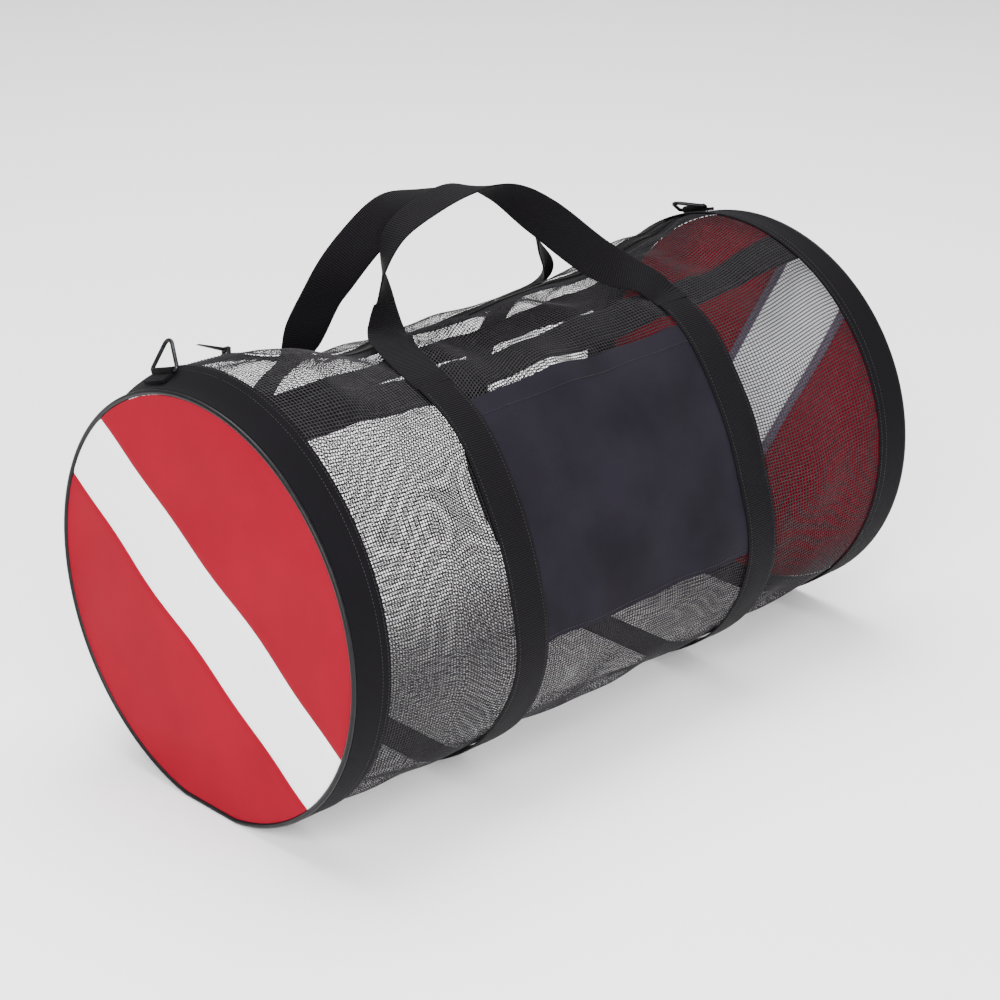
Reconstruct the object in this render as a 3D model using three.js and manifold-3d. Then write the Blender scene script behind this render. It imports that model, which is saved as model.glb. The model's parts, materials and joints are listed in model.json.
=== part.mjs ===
// Mesh dive gear bag: a soft cylinder of open mesh between two stiffened fabric ends,
// lying on its side. Millimetres, +Z up. X runs along the bag, the pocket is at the front (-Y),
// and the origin is at the middle of what the bag rests on. Angles are measured round the bag
// from the top, positive towards the back.
import * as THREE from 'three';
import { mergeVertices } from 'three/addons/utils/BufferGeometryUtils.js';
import Module from 'manifold-3d';

const wasm = await Module();
wasm.setup();

// Driving dimensions of the body
const LENGTH = 700;               // over the piping of the two ends
const RADIUS = 190;               // outside of the end bands
const REST_FLAT = 3;              // how far the rims are flattened where they rest
const CLOTH_GAP = 0.4;            // between layers of cloth
const SMALL_GAP = 0.3;            // between hard parts and their seats
const MESH_WALL = 1.0;
const BAND_WIDTH = 36;
const BAND_WALL = 1.5;
const SEAM_TUCK = 12;             // cloth sewn in under each end band
const PIPING_DIAMETER = 4.5;
const PANEL_WALL = 1.2;
const STRIPE_WIDTH = 76;
const SEAM_ALLOWANCE = 7;         // inner flange of the stripe beside each seam

// Webbing, pocket and zip
const WEBBING_WIDTH = 38;
const WEBBING_WALL = 1.8;
const STRAP_SPACING = 296;        // between the centre lines of the two girth straps
const POCKET_WALL = 0.8;
const POCKET_TUCK = 10;           // pocket cloth under each girth strap
const TAPE_WIDTH = 17;
const TAPE_WALL = 0.9;
const TEETH_WIDTH = 8;
const TEETH_HEIGHT = 3;
const SLOT_WIDTH = 30;            // opening of the mesh along the zip
const SLIDER_LENGTH = 15;
const SLIDER_WIDTH = 15;
const SLIDER_PLATE = 1.8;
const PLATE_GAP = 0.7;            // between the slider's plates and the tapes, which curve
const CHAIN_GAP = 1;              // from the slider to the first tooth
const HINGE_PIN = 2.2;            // diameter of the pin that the puller turns on
const PULLER_LENGTH = 27;
const PULLER_WIDTH = 8;
const PULLER_WALL = 2;
const PULLER_LIFT = 6;            // degrees that the puller's free end is raised

// Carrying parts
const HANDLE_RISE = 106;          // top of the handles over the top of the end bands
const RING_WIDTH = 38;            // straight bar of the shoulder ring, between wire centres
const RING_HEIGHT = 32;
const RING_WIRE = 3.6;
const RING_CORNER = 3;            // bending radius at the bar's ends
const RING_TIP = 6;               // bending radius at the tip
const TAB_CLEARANCE = 0.8;        // between the tab's edges and the bends of its ring
const TAB_WALL = 1.5;
const TAB_TAIL = 14;              // sewn-down part of the ring's tab, from the bar

// Angles in degrees round the bag
const POCKET_TOP = -30.5;
const POCKET_BOTTOM = -102;
const INNER_WEBBING_FRONT = -23;
const INNER_WEBBING_BACK = 66;
const RING_ANGLE = 19;
const STRAP_END_BACK = 52.5;
const STRAP_END_FRONT = 337.5;
const HANDLE_LEAD = 4;            // a handle leaves its strap along the bag for this far
const ANGLE_STEP = 7.5;
const FIRST_FIXED_ANGLE = 45;     // from here round to STRAP_END_FRONT every layer shares its facets
const SLIDER_FACET = 3;           // the slider stands on this lengthwise facet, from the left,
const SLIDER_SHARE = 0.3;         // this share along it

// The sagging of the soft body. at: share of the half length. The others are shares of the
// radius: top dips (swells where negative), front flattens, low bulges at the lower front and
// floor spreads on the ground.
const SECTIONS = [
  { at: -0.98, top: 0.000, front: 0.000, low: 0.000, floor: 0.000 },
  { at: -0.88, top: -0.060, front: 0.000, low: 0.000, floor: 0.000 },
  { at: -0.74, top: -0.055, front: 0.030, low: 0.014, floor: 0.020 },
  { at: -0.42, top: 0.105, front: 0.094, low: 0.030, floor: 0.040 },
  { at: -0.10, top: 0.120, front: 0.100, low: 0.034, floor: 0.046 },
  { at: 0.18, top: 0.120, front: 0.110, low: 0.034, floor: 0.046 },
  { at: 0.42, top: 0.110, front: 0.116, low: 0.030, floor: 0.040 },
  { at: 0.74, top: 0.030, front: 0.040, low: 0.014, floor: 0.020 },
  { at: 0.88, top: -0.030, front: 0.000, low: 0.000, floor: 0.000 },
  { at: 0.98, top: 0.000, front: 0.000, low: 0.000, floor: 0.000 },
];
// Where each column of SECTIONS acts. angle: its middle, reach: half of its spread.
const SAG_ZONES = {
  top: { angle: 14, reach: 78, sign: -1 },
  front: { angle: -66, reach: 52, sign: -1 },
  low: { angle: -120, reach: 42, sign: 1 },
  floor: { angle: 180, reach: 62, sign: 1 },
};
// Soft folds of the empty cloth. at and length: shares of the half length, angle and spread:
// degrees, depth: share of the radius (negative is a dent), slant: degrees per half length.
const FOLDS = [
  { at: -0.66, angle: -6, length: 0.24, spread: 10, depth: 0.024, slant: 30 },
  { at: -0.58, angle: 20, length: 0.22, spread: 12, depth: -0.026, slant: 40 },
  { at: -0.16, angle: 4, length: 0.26, spread: 10, depth: 0.022, slant: -24 },
  { at: -0.05, angle: 22, length: 0.28, spread: 12, depth: -0.030, slant: -20 },
  { at: 0.32, angle: 10, length: 0.24, spread: 11, depth: -0.024, slant: 26 },
  { at: 0.64, angle: -8, length: 0.20, spread: 12, depth: -0.030, slant: -40 },
  { at: 0.70, angle: 26, length: 0.20, spread: 12, depth: 0.020, slant: 30 },
  { at: 0.10, angle: -118, length: 0.34, spread: 13, depth: -0.020, slant: 12 },
  { at: -0.62, angle: -112, length: 0.22, spread: 14, depth: -0.018, slant: -30 },
  { at: 0.66, angle: -104, length: 0.22, spread: 14, depth: -0.022, slant: 36 },
];
// The zip's wandering line. at: share of the half length, angle: degrees.
const ZIP_LINE = [
  { at: -0.88, angle: 26 }, { at: -0.68, angle: 24 }, { at: -0.46, angle: 10 },
  { at: -0.40, angle: 10 }, { at: -0.26, angle: 16 },
  { at: -0.10, angle: 22 }, { at: 0.20, angle: 21 }, { at: 0.55, angle: 18 },
  { at: 0.88, angle: 22 },
];
// The handles, from the left strap to the right one. x: share of half the strap spacing,
// y: share of the radius, z: share of the rise over the bands' top, ax, ay, az: across the webbing.
const HANDLE_FRONT = [
  { x: -0.90, y: -0.02, z: -0.09, ax: 1.0, ay: 0.1, az: 0.0 },
  { x: -0.76, y: 0.14, z: -0.08, ax: 0.98, ay: 0.2, az: 0.0 },
  { x: -0.70, y: 0.21, z: 0.08, ax: 0.92, ay: 0.4, az: 0.1 },
  { x: -0.70, y: 0.22, z: 0.36, ax: 0.66, ay: 0.75, az: 0.08 },
  { x: -0.61, y: 0.22, z: 0.64, ax: 0.3, ay: 0.95, az: 0.0 },
  { x: -0.38, y: 0.20, z: 0.82, ax: 0.0, ay: 1.0, az: 0.0 },
  { x: -0.08, y: 0.18, z: 0.90, ax: -0.1, ay: 1.0, az: -0.05 },
  { x: 0.18, y: 0.14, z: 0.80, ax: -0.4, ay: 0.75, az: -0.45 },
  { x: 0.42, y: 0.07, z: 0.54, ax: -0.65, ay: 0.3, az: -0.7 },
  { x: 0.70, y: -0.10, z: 0.14, ax: -0.82, ay: 0.12, az: -0.48 },
  { x: 0.92, y: -0.23, z: -0.05, ax: -1.0, ay: 0.02, az: 0.05 },
];
const HANDLE_BACK = [
  { x: -0.97, y: 0.66, z: -0.38, ax: 1, ay: 0, az: 0 },
  { x: -0.91, y: 0.57, z: -0.20, ax: 1, ay: -0.15, az: 0 },
  { x: -0.86, y: 0.47, z: 0.16, ax: 0.85, ay: -0.5, az: -0.05 },
  { x: -0.68, y: 0.42, z: 0.48, ax: 0.62, ay: -0.7, az: -0.25 },
  { x: -0.44, y: 0.40, z: 0.68, ax: 0.45, ay: -0.6, az: -0.6 },
  { x: -0.06, y: 0.40, z: 0.74, ax: 0.15, ay: -0.55, az: -0.8 },
  { x: 0.46, y: 0.42, z: 0.60, ax: -0.2, ay: -0.6, az: -0.75 },
  { x: 0.80, y: 0.43, z: 0.32, ax: -0.5, ay: -0.7, az: -0.5 },
  { x: 0.98, y: 0.46, z: 0.04, ax: -0.62, ay: -0.68, az: 0.1 },
  { x: 1.06, y: 0.54, z: -0.16, ax: -0.93, ay: -0.3, az: 0.05 },
  { x: 1.06, y: 0.66, z: -0.38, ax: -1, ay: 0, az: 0 },
];

// The two ends. side: -1 is the left end. slope: the stripe's rise in the end panel, in degrees.
// lean: the shoulder ring's lean towards the middle of the bag, from square to the band.
const ENDS = [
  { name: 'left', side: -1, slope: 35, lean: 44 },
  { name: 'right', side: 1, slope: 118, lean: 76 },
];

// Colours and finishes
const FINISHES = {
  mesh: { color: 0x2e2c30, roughness: 0.75 },
  nylon: { color: 0x2a282c, roughness: 0.7 },
  webbing: { color: 0x232126, roughness: 0.65 },
  pocket: { color: 0x28272d, roughness: 0.75 },
  piping: { color: 0x1c1c20, roughness: 0.35 },
  red: { color: 0xc4142f, roughness: 0.7 },
  white: { color: 0xeeeef4, roughness: 0.7 },
  tape: { color: 0x201f23, roughness: 0.8 },
  plastic: { color: 0x18181b, roughness: 0.45 },
  steel: { color: 0x202124, roughness: 0.3, metalness: 0.8 },
};

// Places worked out from the sizes
const HALF = LENGTH / 2;
const CENTRE_Z = RADIUS - REST_FLAT;
const RIM_LIFT = BAND_WALL + CLOTH_GAP;             // from the mesh to the outside of a band
const STRAP_LIFT = CLOTH_GAP + POCKET_WALL + CLOTH_GAP;
const STRAP_TOP_LIFT = STRAP_LIFT + WEBBING_WALL;
const MESH_RADIUS = RADIUS - RIM_LIFT;
const BAND_END = HALF - PIPING_DIAMETER - SMALL_GAP;
const BAND_INNER = HALF - BAND_WIDTH - PIPING_DIAMETER;
const MESH_END = BAND_INNER + SEAM_TUCK;
const STRAP_X = STRAP_SPACING / 2;
const TAPE_LIFT = -MESH_WALL - 2 * CLOTH_GAP - TAPE_WALL;
const RING_LEG_ANGLE = Math.atan2(RING_HEIGHT, RING_WIDTH / 2);
const RING_STRAIGHT = RING_WIDTH - (2 * RING_CORNER) / Math.tan(RING_LEG_ANGLE / 2);
const TAB_WIDTH = RING_STRAIGHT - 2 * TAB_CLEARANCE;
const radians = THREE.MathUtils.degToRad;
const degreesOf = (length) => THREE.MathUtils.radToDeg(length / MESH_RADIUS);

const group = new THREE.Group();

function add(name, geometry, finish, matrix) {
  const { metalness = 0, ...rest } = FINISHES[finish];
  const mesh = new THREE.Mesh(geometry, new THREE.MeshStandardMaterial({ ...rest, metalness }));
  mesh.name = name;
  if (matrix) mesh.applyMatrix4(matrix);
  group.add(mesh);
  return mesh;
}

// A smooth value from a table's column at a share along it
function fromTable(table, column, at) {
  const last = table.length - 1;
  if (at <= table[0].at) return table[0][column];
  if (at >= table[last].at) return table[last][column];
  const row = table.findIndex((entry) => entry.at > at) - 1;
  const share = (at - table[row].at) / (table[row + 1].at - table[row].at);
  const eased = share * share * (3 - 2 * share);
  return THREE.MathUtils.lerp(table[row][column], table[row + 1][column], eased);
}

// A smooth hill, 1 in its middle and 0 from its reach on
function hill(distance, reach) {
  const share = Math.min(1, Math.abs(distance) / reach);
  return (1 + Math.cos(Math.PI * share)) / 2;
}

function turnBetween(angle, middle) {
  return THREE.MathUtils.euclideanModulo(angle - middle + 180, 360) - 180;
}

// Radius of the mesh's outside at a place on the bag
function meshRadius(x, angle) {
  const at = x / HALF;
  let share = 1;
  for (const [column, zone] of Object.entries(SAG_ZONES)) {
    const size = fromTable(SECTIONS, column, at);
    share += zone.sign * size * hill(turnBetween(angle, zone.angle), zone.reach);
  }
  for (const fold of FOLDS) {
    const along = at - fold.at;
    const ridge = turnBetween(angle, fold.angle + fold.slant * along);
    share += fold.depth * hill(along, fold.length) * hill(ridge, fold.spread);
  }
  return MESH_RADIUS * share;
}

// A point lifted off the mesh's outside, on the smooth surface
function smoothSkin(x, angle, lift) {
  const radius = meshRadius(x, angle) + lift;
  const underStraps = THREE.MathUtils.smoothstep(BAND_INNER - Math.abs(x), 0, BAND_INNER / 2);
  const floor = THREE.MathUtils.lerp(RIM_LIFT, STRAP_TOP_LIFT, underStraps) - lift;
  const height = CENTRE_Z + radius * Math.cos(radians(angle));
  return new THREE.Vector3(x, radius * Math.sin(radians(angle)), Math.max(height, floor));
}

// Lengthwise stations that every layer shares, so that their facets lie parallel
const STATIONS = (() => {
  const half = WEBBING_WIDTH / 2;
  const marks = [-MESH_END, -BAND_INNER, -STRAP_X - half, -STRAP_X + half];
  const mirrored = [...marks, ...marks.map((x) => -x).reverse()];
  const steps = [1, 5, 1, 7, 1, 5, 1];
  return mirrored.flatMap((x, i) => {
    if (i === mirrored.length - 1) return [x];
    const next = mirrored[i + 1];
    return Array.from({ length: steps[i] }, (_, k) => x + ((next - x) * k) / steps[i]);
  });
})();

const SLIDER_X = THREE.MathUtils.lerp(STATIONS[SLIDER_FACET], STATIONS[SLIDER_FACET + 1], SLIDER_SHARE);

// The two stations on either side of x, and how far x lies between them
function stationSpan(x) {
  const stations = [-BAND_END, ...STATIONS, BAND_END];
  const inside = THREE.MathUtils.clamp(x, -BAND_END, BAND_END);
  const next = Math.max(1, stations.findIndex((station) => station >= inside));
  const [from, to] = [stations[next - 1], stations[next]];
  return { from, to, share: (inside - from) / (to - from) };
}

// The same point on the flat facets between two neighbouring edges at one station
function facetPoint(x, angle, lift) {
  const edges = rimAngles(x);
  const turned = edges[0] + THREE.MathUtils.euclideanModulo(angle - edges[0], 360);
  const after = edges.findIndex((edge) => edge > turned);
  const [from, to] = after > 0 ? [edges[after - 1], edges[after]] : [edges.at(-1), edges[0] + 360];
  const share = (turned - from) / (to - from);
  return smoothSkin(x, from, lift).lerp(smoothSkin(x, to, lift), share);
}

// A point lifted off the faceted mesh, between two stations
function skin(x, angle, lift) {
  const { from, to, share } = stationSpan(x);
  return facetPoint(from, angle, lift).lerp(facetPoint(to, angle, lift), share).setX(x);
}

// Straight between stations, so that the zip's parts run parallel to each other
function zipAngle(x) {
  const { from, to, share } = stationSpan(x);
  const [angleFrom, angleTo] = [from, to].map((at) => fromTable(ZIP_LINE, 'angle', at / HALF));
  return THREE.MathUtils.lerp(angleFrom, angleTo, share);
}

function stationsBetween(from, to) {
  return [from, ...STATIONS.filter((x) => x > from + 1 && x < to - 1), to];
}

function anglesBetween(from, to) {
  const count = Math.floor((to - 1 - from) / ANGLE_STEP);
  const first = Math.floor(from / ANGLE_STEP) + 1;
  const inner = Array.from({ length: count + 1 }, (_, k) => (first + k) * ANGLE_STEP);
  return [from, ...inner.filter((angle) => angle > from + 1 && angle < to - 1), to];
}

// Angles of the mesh's lengthwise edges, from one edge of the zip's slot round to the other
function meshAngles(x) {
  const half = degreesOf(SLOT_WIDTH / 2);
  const backEdge = zipAngle(x) + half;
  const frontEdge = zipAngle(x) + 360 - half;
  const blend = (from, to, count) =>
    Array.from({ length: count }, (_, k) => from + ((to - from) * k) / count);
  return [
    ...blend(backEdge, FIRST_FIXED_ANGLE, 3),
    ...blend(FIRST_FIXED_ANGLE, STRAP_END_FRONT, (STRAP_END_FRONT - FIRST_FIXED_ANGLE) / ANGLE_STEP),
    ...blend(STRAP_END_FRONT, frontEdge, 5),
    frontEdge,
  ];
}

function solidFrom(points, faces) {
  const geometry = new THREE.BufferGeometry();
  const flat = points.flatMap((point) => point.toArray());
  geometry.setAttribute('position', new THREE.Float32BufferAttribute(flat, 3));
  geometry.setIndex(faces.flat());
  const faceted = geometry.toNonIndexed();
  faceted.computeVertexNormals();
  return faceted;
}

// A closed solid between an outer and an inner grid of points. Rows run along X and columns
// round the bag; closed joins the last column to the first.
function slab(outer, inner, closed = false) {
  const rows = outer.length;
  const columns = outer[0].length;
  const points = [...outer.flat(), ...inner.flat()];
  const out = (i, j) => i * columns + (j % columns);
  const into = (i, j) => rows * columns + out(i, j);
  const faces = [];
  const quad = (a, b, c, d) => faces.push([a, b, c], [a, c, d]);
  const spans = closed ? columns : columns - 1;
  for (let i = 0; i < rows - 1; i += 1) {
    for (let j = 0; j < spans; j += 1) {
      quad(out(i, j), out(i + 1, j), out(i + 1, j + 1), out(i, j + 1));
      quad(into(i, j), into(i, j + 1), into(i + 1, j + 1), into(i + 1, j));
    }
    if (!closed) {
      quad(out(i, 0), into(i, 0), into(i + 1, 0), out(i + 1, 0));
      quad(out(i, spans), out(i + 1, spans), into(i + 1, spans), into(i, spans));
    }
  }
  for (let j = 0; j < spans; j += 1) {
    quad(out(0, j), out(0, j + 1), into(0, j + 1), into(0, j));
    quad(out(rows - 1, j), into(rows - 1, j), into(rows - 1, j + 1), out(rows - 1, j + 1));
  }
  return solidFrom(points, faces);
}

// A patch of cloth on the bag. anglesAt gives the angles of its lengthwise edges at x.
function patch(xs, anglesAt, lift, wall, closed = false) {
  const grid = (height) => xs.map((x) => anglesAt(x).map((angle) => skin(x, angle, height)));
  return slab(grid(lift + wall), grid(lift), closed);
}

// A closed loop of wire or cord through rings of points
function loop(rings) {
  const sides = rings[0].length;
  const at = (i, j) => (i % rings.length) * sides + (j % sides);
  const faces = [];
  rings.forEach((_, i) => {
    for (let j = 0; j < sides; j += 1) {
      faces.push([at(i, j), at(i + 1, j), at(i + 1, j + 1)], [at(i, j), at(i + 1, j + 1), at(i, j + 1)]);
    }
  });
  return solidFrom(rings.flat(), faces);
}

function manifoldOf(geometry) {
  const bare = geometry.clone();
  bare.deleteAttribute('normal');
  bare.deleteAttribute('uv');
  const merged = mergeVertices(bare, 1e-4);
  return new wasm.Manifold(new wasm.Mesh({
    numProp: 3,
    vertProperties: new Float32Array(merged.attributes.position.array),
    triVerts: new Uint32Array(merged.index.array),
  }));
}

// One solid from several. operation: 'add' joins them, 'subtract' cuts the others from the first.
function combined(operation, geometries) {
  const [first, ...rest] = geometries.map(manifoldOf);
  const solid = rest.reduce((sum, piece) => sum[operation](piece), first);
  const { vertProperties, triVerts, numProp } = solid.getMesh();
  const geometry = new THREE.BufferGeometry();
  const count = vertProperties.length / numProp;
  const flat = Array.from({ length: count * 3 }, (_, i) => vertProperties[Math.floor(i / 3) * numProp + (i % 3)]);
  geometry.setAttribute('position', new THREE.Float32BufferAttribute(flat, 3));
  geometry.setIndex([...triVerts]);
  return geometry.toNonIndexed();
}

function box(from, to) {
  const size = to.map((value, i) => value - from[i]);
  const middle = to.map((value, i) => (value + from[i]) / 2);
  return new THREE.BoxGeometry(...size).translate(...middle);
}

// A frame on the bag: x along the zip or the bag's axis, y round towards the back, z outwards
function seat(x, angleAt, lift) {
  const reach = SLIDER_LENGTH / 2;
  const point = skin(x, angleAt(x), lift);
  const along = skin(x + reach, angleAt(x + reach), lift);
  along.sub(skin(x - reach, angleAt(x - reach), lift)).normalize();
  const half = degreesOf(reach);
  const round = skin(x, angleAt(x) + half, lift).sub(skin(x, angleAt(x) - half, lift));
  round.addScaledVector(along, -round.dot(along)).normalize();
  const outwards = along.clone().cross(round);
  return new THREE.Matrix4().makeBasis(along, round, outwards).setPosition(point);
}

// Mesh body, end bands and piping
function rimAngles(x) {
  return [...meshAngles(x), zipAngle(x) + 360];
}

add('mesh_body', patch(STATIONS, meshAngles, -MESH_WALL, MESH_WALL), 'mesh');

function endBand({ side }) {
  const xs = [BAND_END, MESH_END, BAND_INNER].map((x) => side * x).sort((a, b) => a - b);
  return patch(xs, rimAngles, CLOTH_GAP, BAND_WALL, true);
}

function piping({ side }) {
  const sides = 6;
  const radius = PIPING_DIAMETER / 2;
  const x = side * (HALF - radius);
  const rings = rimAngles(x).map((angle) => Array.from({ length: sides }, (_, k) => {
    const turn = (2 * Math.PI * k) / sides;
    return skin(x + radius * Math.cos(turn), angle, RIM_LIFT - radius + radius * Math.sin(turn));
  }));
  return loop(rings);
}

// End panels: two red pieces with a white stripe sewn between them
function keepSide(outline, normal, limit) {
  const height = (point) => point.dot(normal) - limit;
  return outline.flatMap((point, i) => {
    const next = outline[(i + 1) % outline.length];
    const [from, to] = [height(point), height(next)];
    const kept = from >= 0 ? [point] : [];
    return from * to < 0 ? [...kept, point.clone().lerp(next, from / (from - to))] : kept;
  });
}

function endPanels(end) {
  const x = end.side * (HALF - PIPING_DIAMETER / 2);
  const lift = RIM_LIFT - PIPING_DIAMETER - SMALL_GAP;
  const disc = rimAngles(x).map((angle) => skin(x, angle, lift)).map((p) => new THREE.Vector2(p.y, p.z - CENTRE_Z));
  const slope = radians(end.slope);
  const up = new THREE.Vector2(-Math.sin(slope), Math.cos(slope));
  if (up.y < 0) up.negate();
  const down = up.clone().negate();
  const half = STRIPE_WIDTH / 2;
  // A plate whose outer face is inset behind the panel's outside
  const plate = (outline, inset, wall) => {
    const geometry = new THREE.ExtrudeGeometry(new THREE.Shape(outline), { depth: wall, bevelEnabled: false });
    geometry.rotateX(Math.PI / 2).rotateZ(Math.PI / 2);
    const outside = x + end.side * (PANEL_WALL / 2 - inset);
    return geometry.translate(end.side > 0 ? outside - wall : outside, 0, CENTRE_Z);
  };
  const width = half + SEAM_ALLOWANCE;
  const strip = keepSide(keepSide(disc, up, -width), down, -width);
  const sheet = [[-1, -1], [1, -1], [1, 1], [-1, 1]].map(([y, z]) => new THREE.Vector2(y, z).multiplyScalar(LENGTH));
  const flangeInset = PANEL_WALL + CLOTH_GAP;
  const overFlange = (normal) => plate(keepSide(sheet, normal, half), -PANEL_WALL, PANEL_WALL + flangeInset);
  add(`panel_${end.name}_upper`, plate(keepSide(disc, up, half + CLOTH_GAP), 0, PANEL_WALL), 'red');
  add(`panel_${end.name}_lower`, plate(keepSide(disc, down, half + CLOTH_GAP), 0, PANEL_WALL), 'red');
  add(`panel_${end.name}_stripe`, combined('subtract', [
    plate(strip, 0, flangeInset + PANEL_WALL), overFlange(up), overFlange(down),
  ]), 'white');
}

// Webbing sewn on the body
function girthStrap(side) {
  const middle = side * STRAP_X;
  const xs = stationsBetween(middle - WEBBING_WIDTH / 2, middle + WEBBING_WIDTH / 2);
  return patch(xs, () => anglesBetween(STRAP_END_BACK, STRAP_END_FRONT), STRAP_LIFT, WEBBING_WALL);
}

function innerWebbing(angle) {
  const half = degreesOf(WEBBING_WIDTH / 2);
  const lift = -MESH_WALL - CLOTH_GAP - WEBBING_WALL;
  return patch(STATIONS, () => anglesBetween(angle + 360 - half, angle + 360 + half), lift, WEBBING_WALL);
}

function pocketPanel() {
  const reach = STRAP_X - WEBBING_WIDTH / 2 + POCKET_TUCK;
  const angles = anglesBetween(POCKET_BOTTOM + 360, POCKET_TOP + 360);
  return patch(stationsBetween(-reach, reach), () => angles, CLOTH_GAP, POCKET_WALL);
}

// A length of webbing through the rows of a handle's table, from strap to strap
function handle(table, startAngle, endAngle) {
  const gap = degreesOf(SMALL_GAP);
  const lift = STRAP_LIFT + WEBBING_WALL / 2;
  const turn = Math.sign(turnBetween(startAngle, 0));
  const fromStrap = (x, angle, degrees) => skin(x, angle - turn * degrees, lift);
  const leads = [fromStrap(-STRAP_X, startAngle, HANDLE_LEAD), fromStrap(STRAP_X, endAngle, HANDLE_LEAD)];
  const [start, end] = [fromStrap(-STRAP_X, startAngle, gap), fromStrap(STRAP_X, endAngle, gap)];
  const top = CENTRE_Z + RADIUS;
  const rows = table.map((row) => new THREE.Vector3(row.x * STRAP_X, row.y * RADIUS, top + row.z * HANDLE_RISE));
  const path = [start, leads[0], ...rows, leads[1], end];
  const line = new THREE.CatmullRomCurve3(path, false, 'centripetal');
  const first = new THREE.Vector3(1, 0, 0);
  const last = first.clone().negate();
  const widths = [first, first, ...table.map((row) => new THREE.Vector3(row.ax, row.ay, row.az)), last, last];
  const across = new THREE.CatmullRomCurve3(widths, false, 'catmullrom');
  const steps = (path.length - 1) * 4;
  const sections = Array.from({ length: steps + 1 }, (_, k) => {
    const share = k / steps;
    const tangent = line.getTangent(share).normalize();
    const side = across.getPoint(share);
    side.addScaledVector(tangent, -side.dot(tangent)).normalize();
    if (k === 0 || k === steps) side.copy(widths[k === 0 ? 0 : widths.length - 1]);
    const normal = tangent.clone().cross(side).multiplyScalar(WEBBING_WALL / 2);
    side.multiplyScalar(WEBBING_WIDTH / 2);
    const middle = line.getPoint(share);
    const corner = (s, n) => middle.clone().addScaledVector(side, s).addScaledVector(normal, n);
    return { outer: [corner(1, 1), corner(-1, 1)], inner: [corner(1, -1), corner(-1, -1)] };
  });
  return slab(sections.map((s) => s.inner), sections.map((s) => s.outer));
}

// Zip: two tapes, the closed chain of teeth between them, the slider and its puller
function zipStrip(offsets, lift, wall, xs) {
  const angles = (x) => offsets.map((offset) => zipAngle(x) + degreesOf(offset));
  return patch(xs, angles, lift, wall);
}

const zipSeat = seat(SLIDER_X, zipAngle, TAPE_LIFT + TAPE_WALL / 2);
const pinHeight = TAPE_WALL / 2 + PLATE_GAP + SLIDER_PLATE + SMALL_GAP + PULLER_WALL + HINGE_PIN / 2;
const pinX = -SLIDER_LENGTH / 2 + HINGE_PIN;
const knuckleRadius = HINGE_PIN / 2 + SMALL_GAP + 1.2;

function slider() {
  const halfLength = SLIDER_LENGTH / 2;
  const halfWidth = SLIDER_WIDTH / 2;
  const groove = TAPE_WALL / 2 + PLATE_GAP;
  const web = TEETH_WIDTH / 2 - 1;
  const plateAt = (from) => box([-halfLength, -halfWidth, from], [halfLength, halfWidth, from + SLIDER_PLATE]);
  const earInner = PULLER_WIDTH / 2 + SMALL_GAP;
  const ear = (side) => {
    const [near, far] = [earInner, earInner + 1.4].map((y) => side * y).sort((a, b) => a - b);
    return box([pinX - 1.8, near, groove + 0.4], [pinX + 1.8, far, pinHeight + 1.8]);
  };
  const pin = new THREE.CylinderGeometry(HINGE_PIN / 2, HINGE_PIN / 2, 2 * earInner + 1, 12);
  return combined('add', [
    box([-halfLength, -web, -groove - SLIDER_PLATE], [halfLength, web, groove + SLIDER_PLATE]),
    plateAt(groove), plateAt(-groove - SLIDER_PLATE), ear(-1), ear(1),
    pin.translate(pinX, 0, pinHeight),
  ]);
}

// Side view of the puller, extruded across: a knuckle round the pin and a flat plate
function puller() {
  const outline = new THREE.Shape();
  const reach = Math.asin((PULLER_WALL / 2) / knuckleRadius);
  outline.moveTo(-PULLER_LENGTH, -PULLER_WALL / 2);
  outline.absarc(0, 0, knuckleRadius, -Math.PI + reach, Math.PI - reach, false);
  outline.lineTo(-PULLER_LENGTH, PULLER_WALL / 2);
  const hole = new THREE.Path();
  hole.absarc(0, 0, HINGE_PIN / 2 + SMALL_GAP, 0, 2 * Math.PI, true);
  outline.holes.push(hole);
  const options = { depth: PULLER_WIDTH, bevelEnabled: false, curveSegments: 14 };
  const geometry = new THREE.ExtrudeGeometry(outline, options).rotateX(Math.PI / 2);
  return geometry.translate(0, PULLER_WIDTH / 2, 0);
}

function zip() {
  const half = TEETH_WIDTH / 2 + SMALL_GAP;
  const tape = [half, SLOT_WIDTH / 2, half + TAPE_WIDTH];
  const mirrored = tape.map((offset) => -offset).reverse();
  add('zip_tape_front', zipStrip(mirrored, TAPE_LIFT, TAPE_WALL, STATIONS), 'tape');
  add('zip_tape_back', zipStrip(tape, TAPE_LIFT, TAPE_WALL, STATIONS), 'tape');
  const chain = stationsBetween(SLIDER_X + SLIDER_LENGTH / 2 + CHAIN_GAP, MESH_END);
  const chainLift = TAPE_LIFT + (TAPE_WALL - TEETH_HEIGHT) / 2;
  const reach = TEETH_WIDTH / 2;
  add('zip_teeth', zipStrip([-reach, 0, reach], chainLift, TEETH_HEIGHT, chain), 'plastic');
  add('zip_slider', slider(), 'plastic', zipSeat);
  const raised = new THREE.Matrix4().makeRotationY(radians(PULLER_LIFT)).setPosition(pinX, 0, pinHeight);
  add('zip_puller', puller(), 'plastic', zipSeat.clone().multiply(raised));
}

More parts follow.
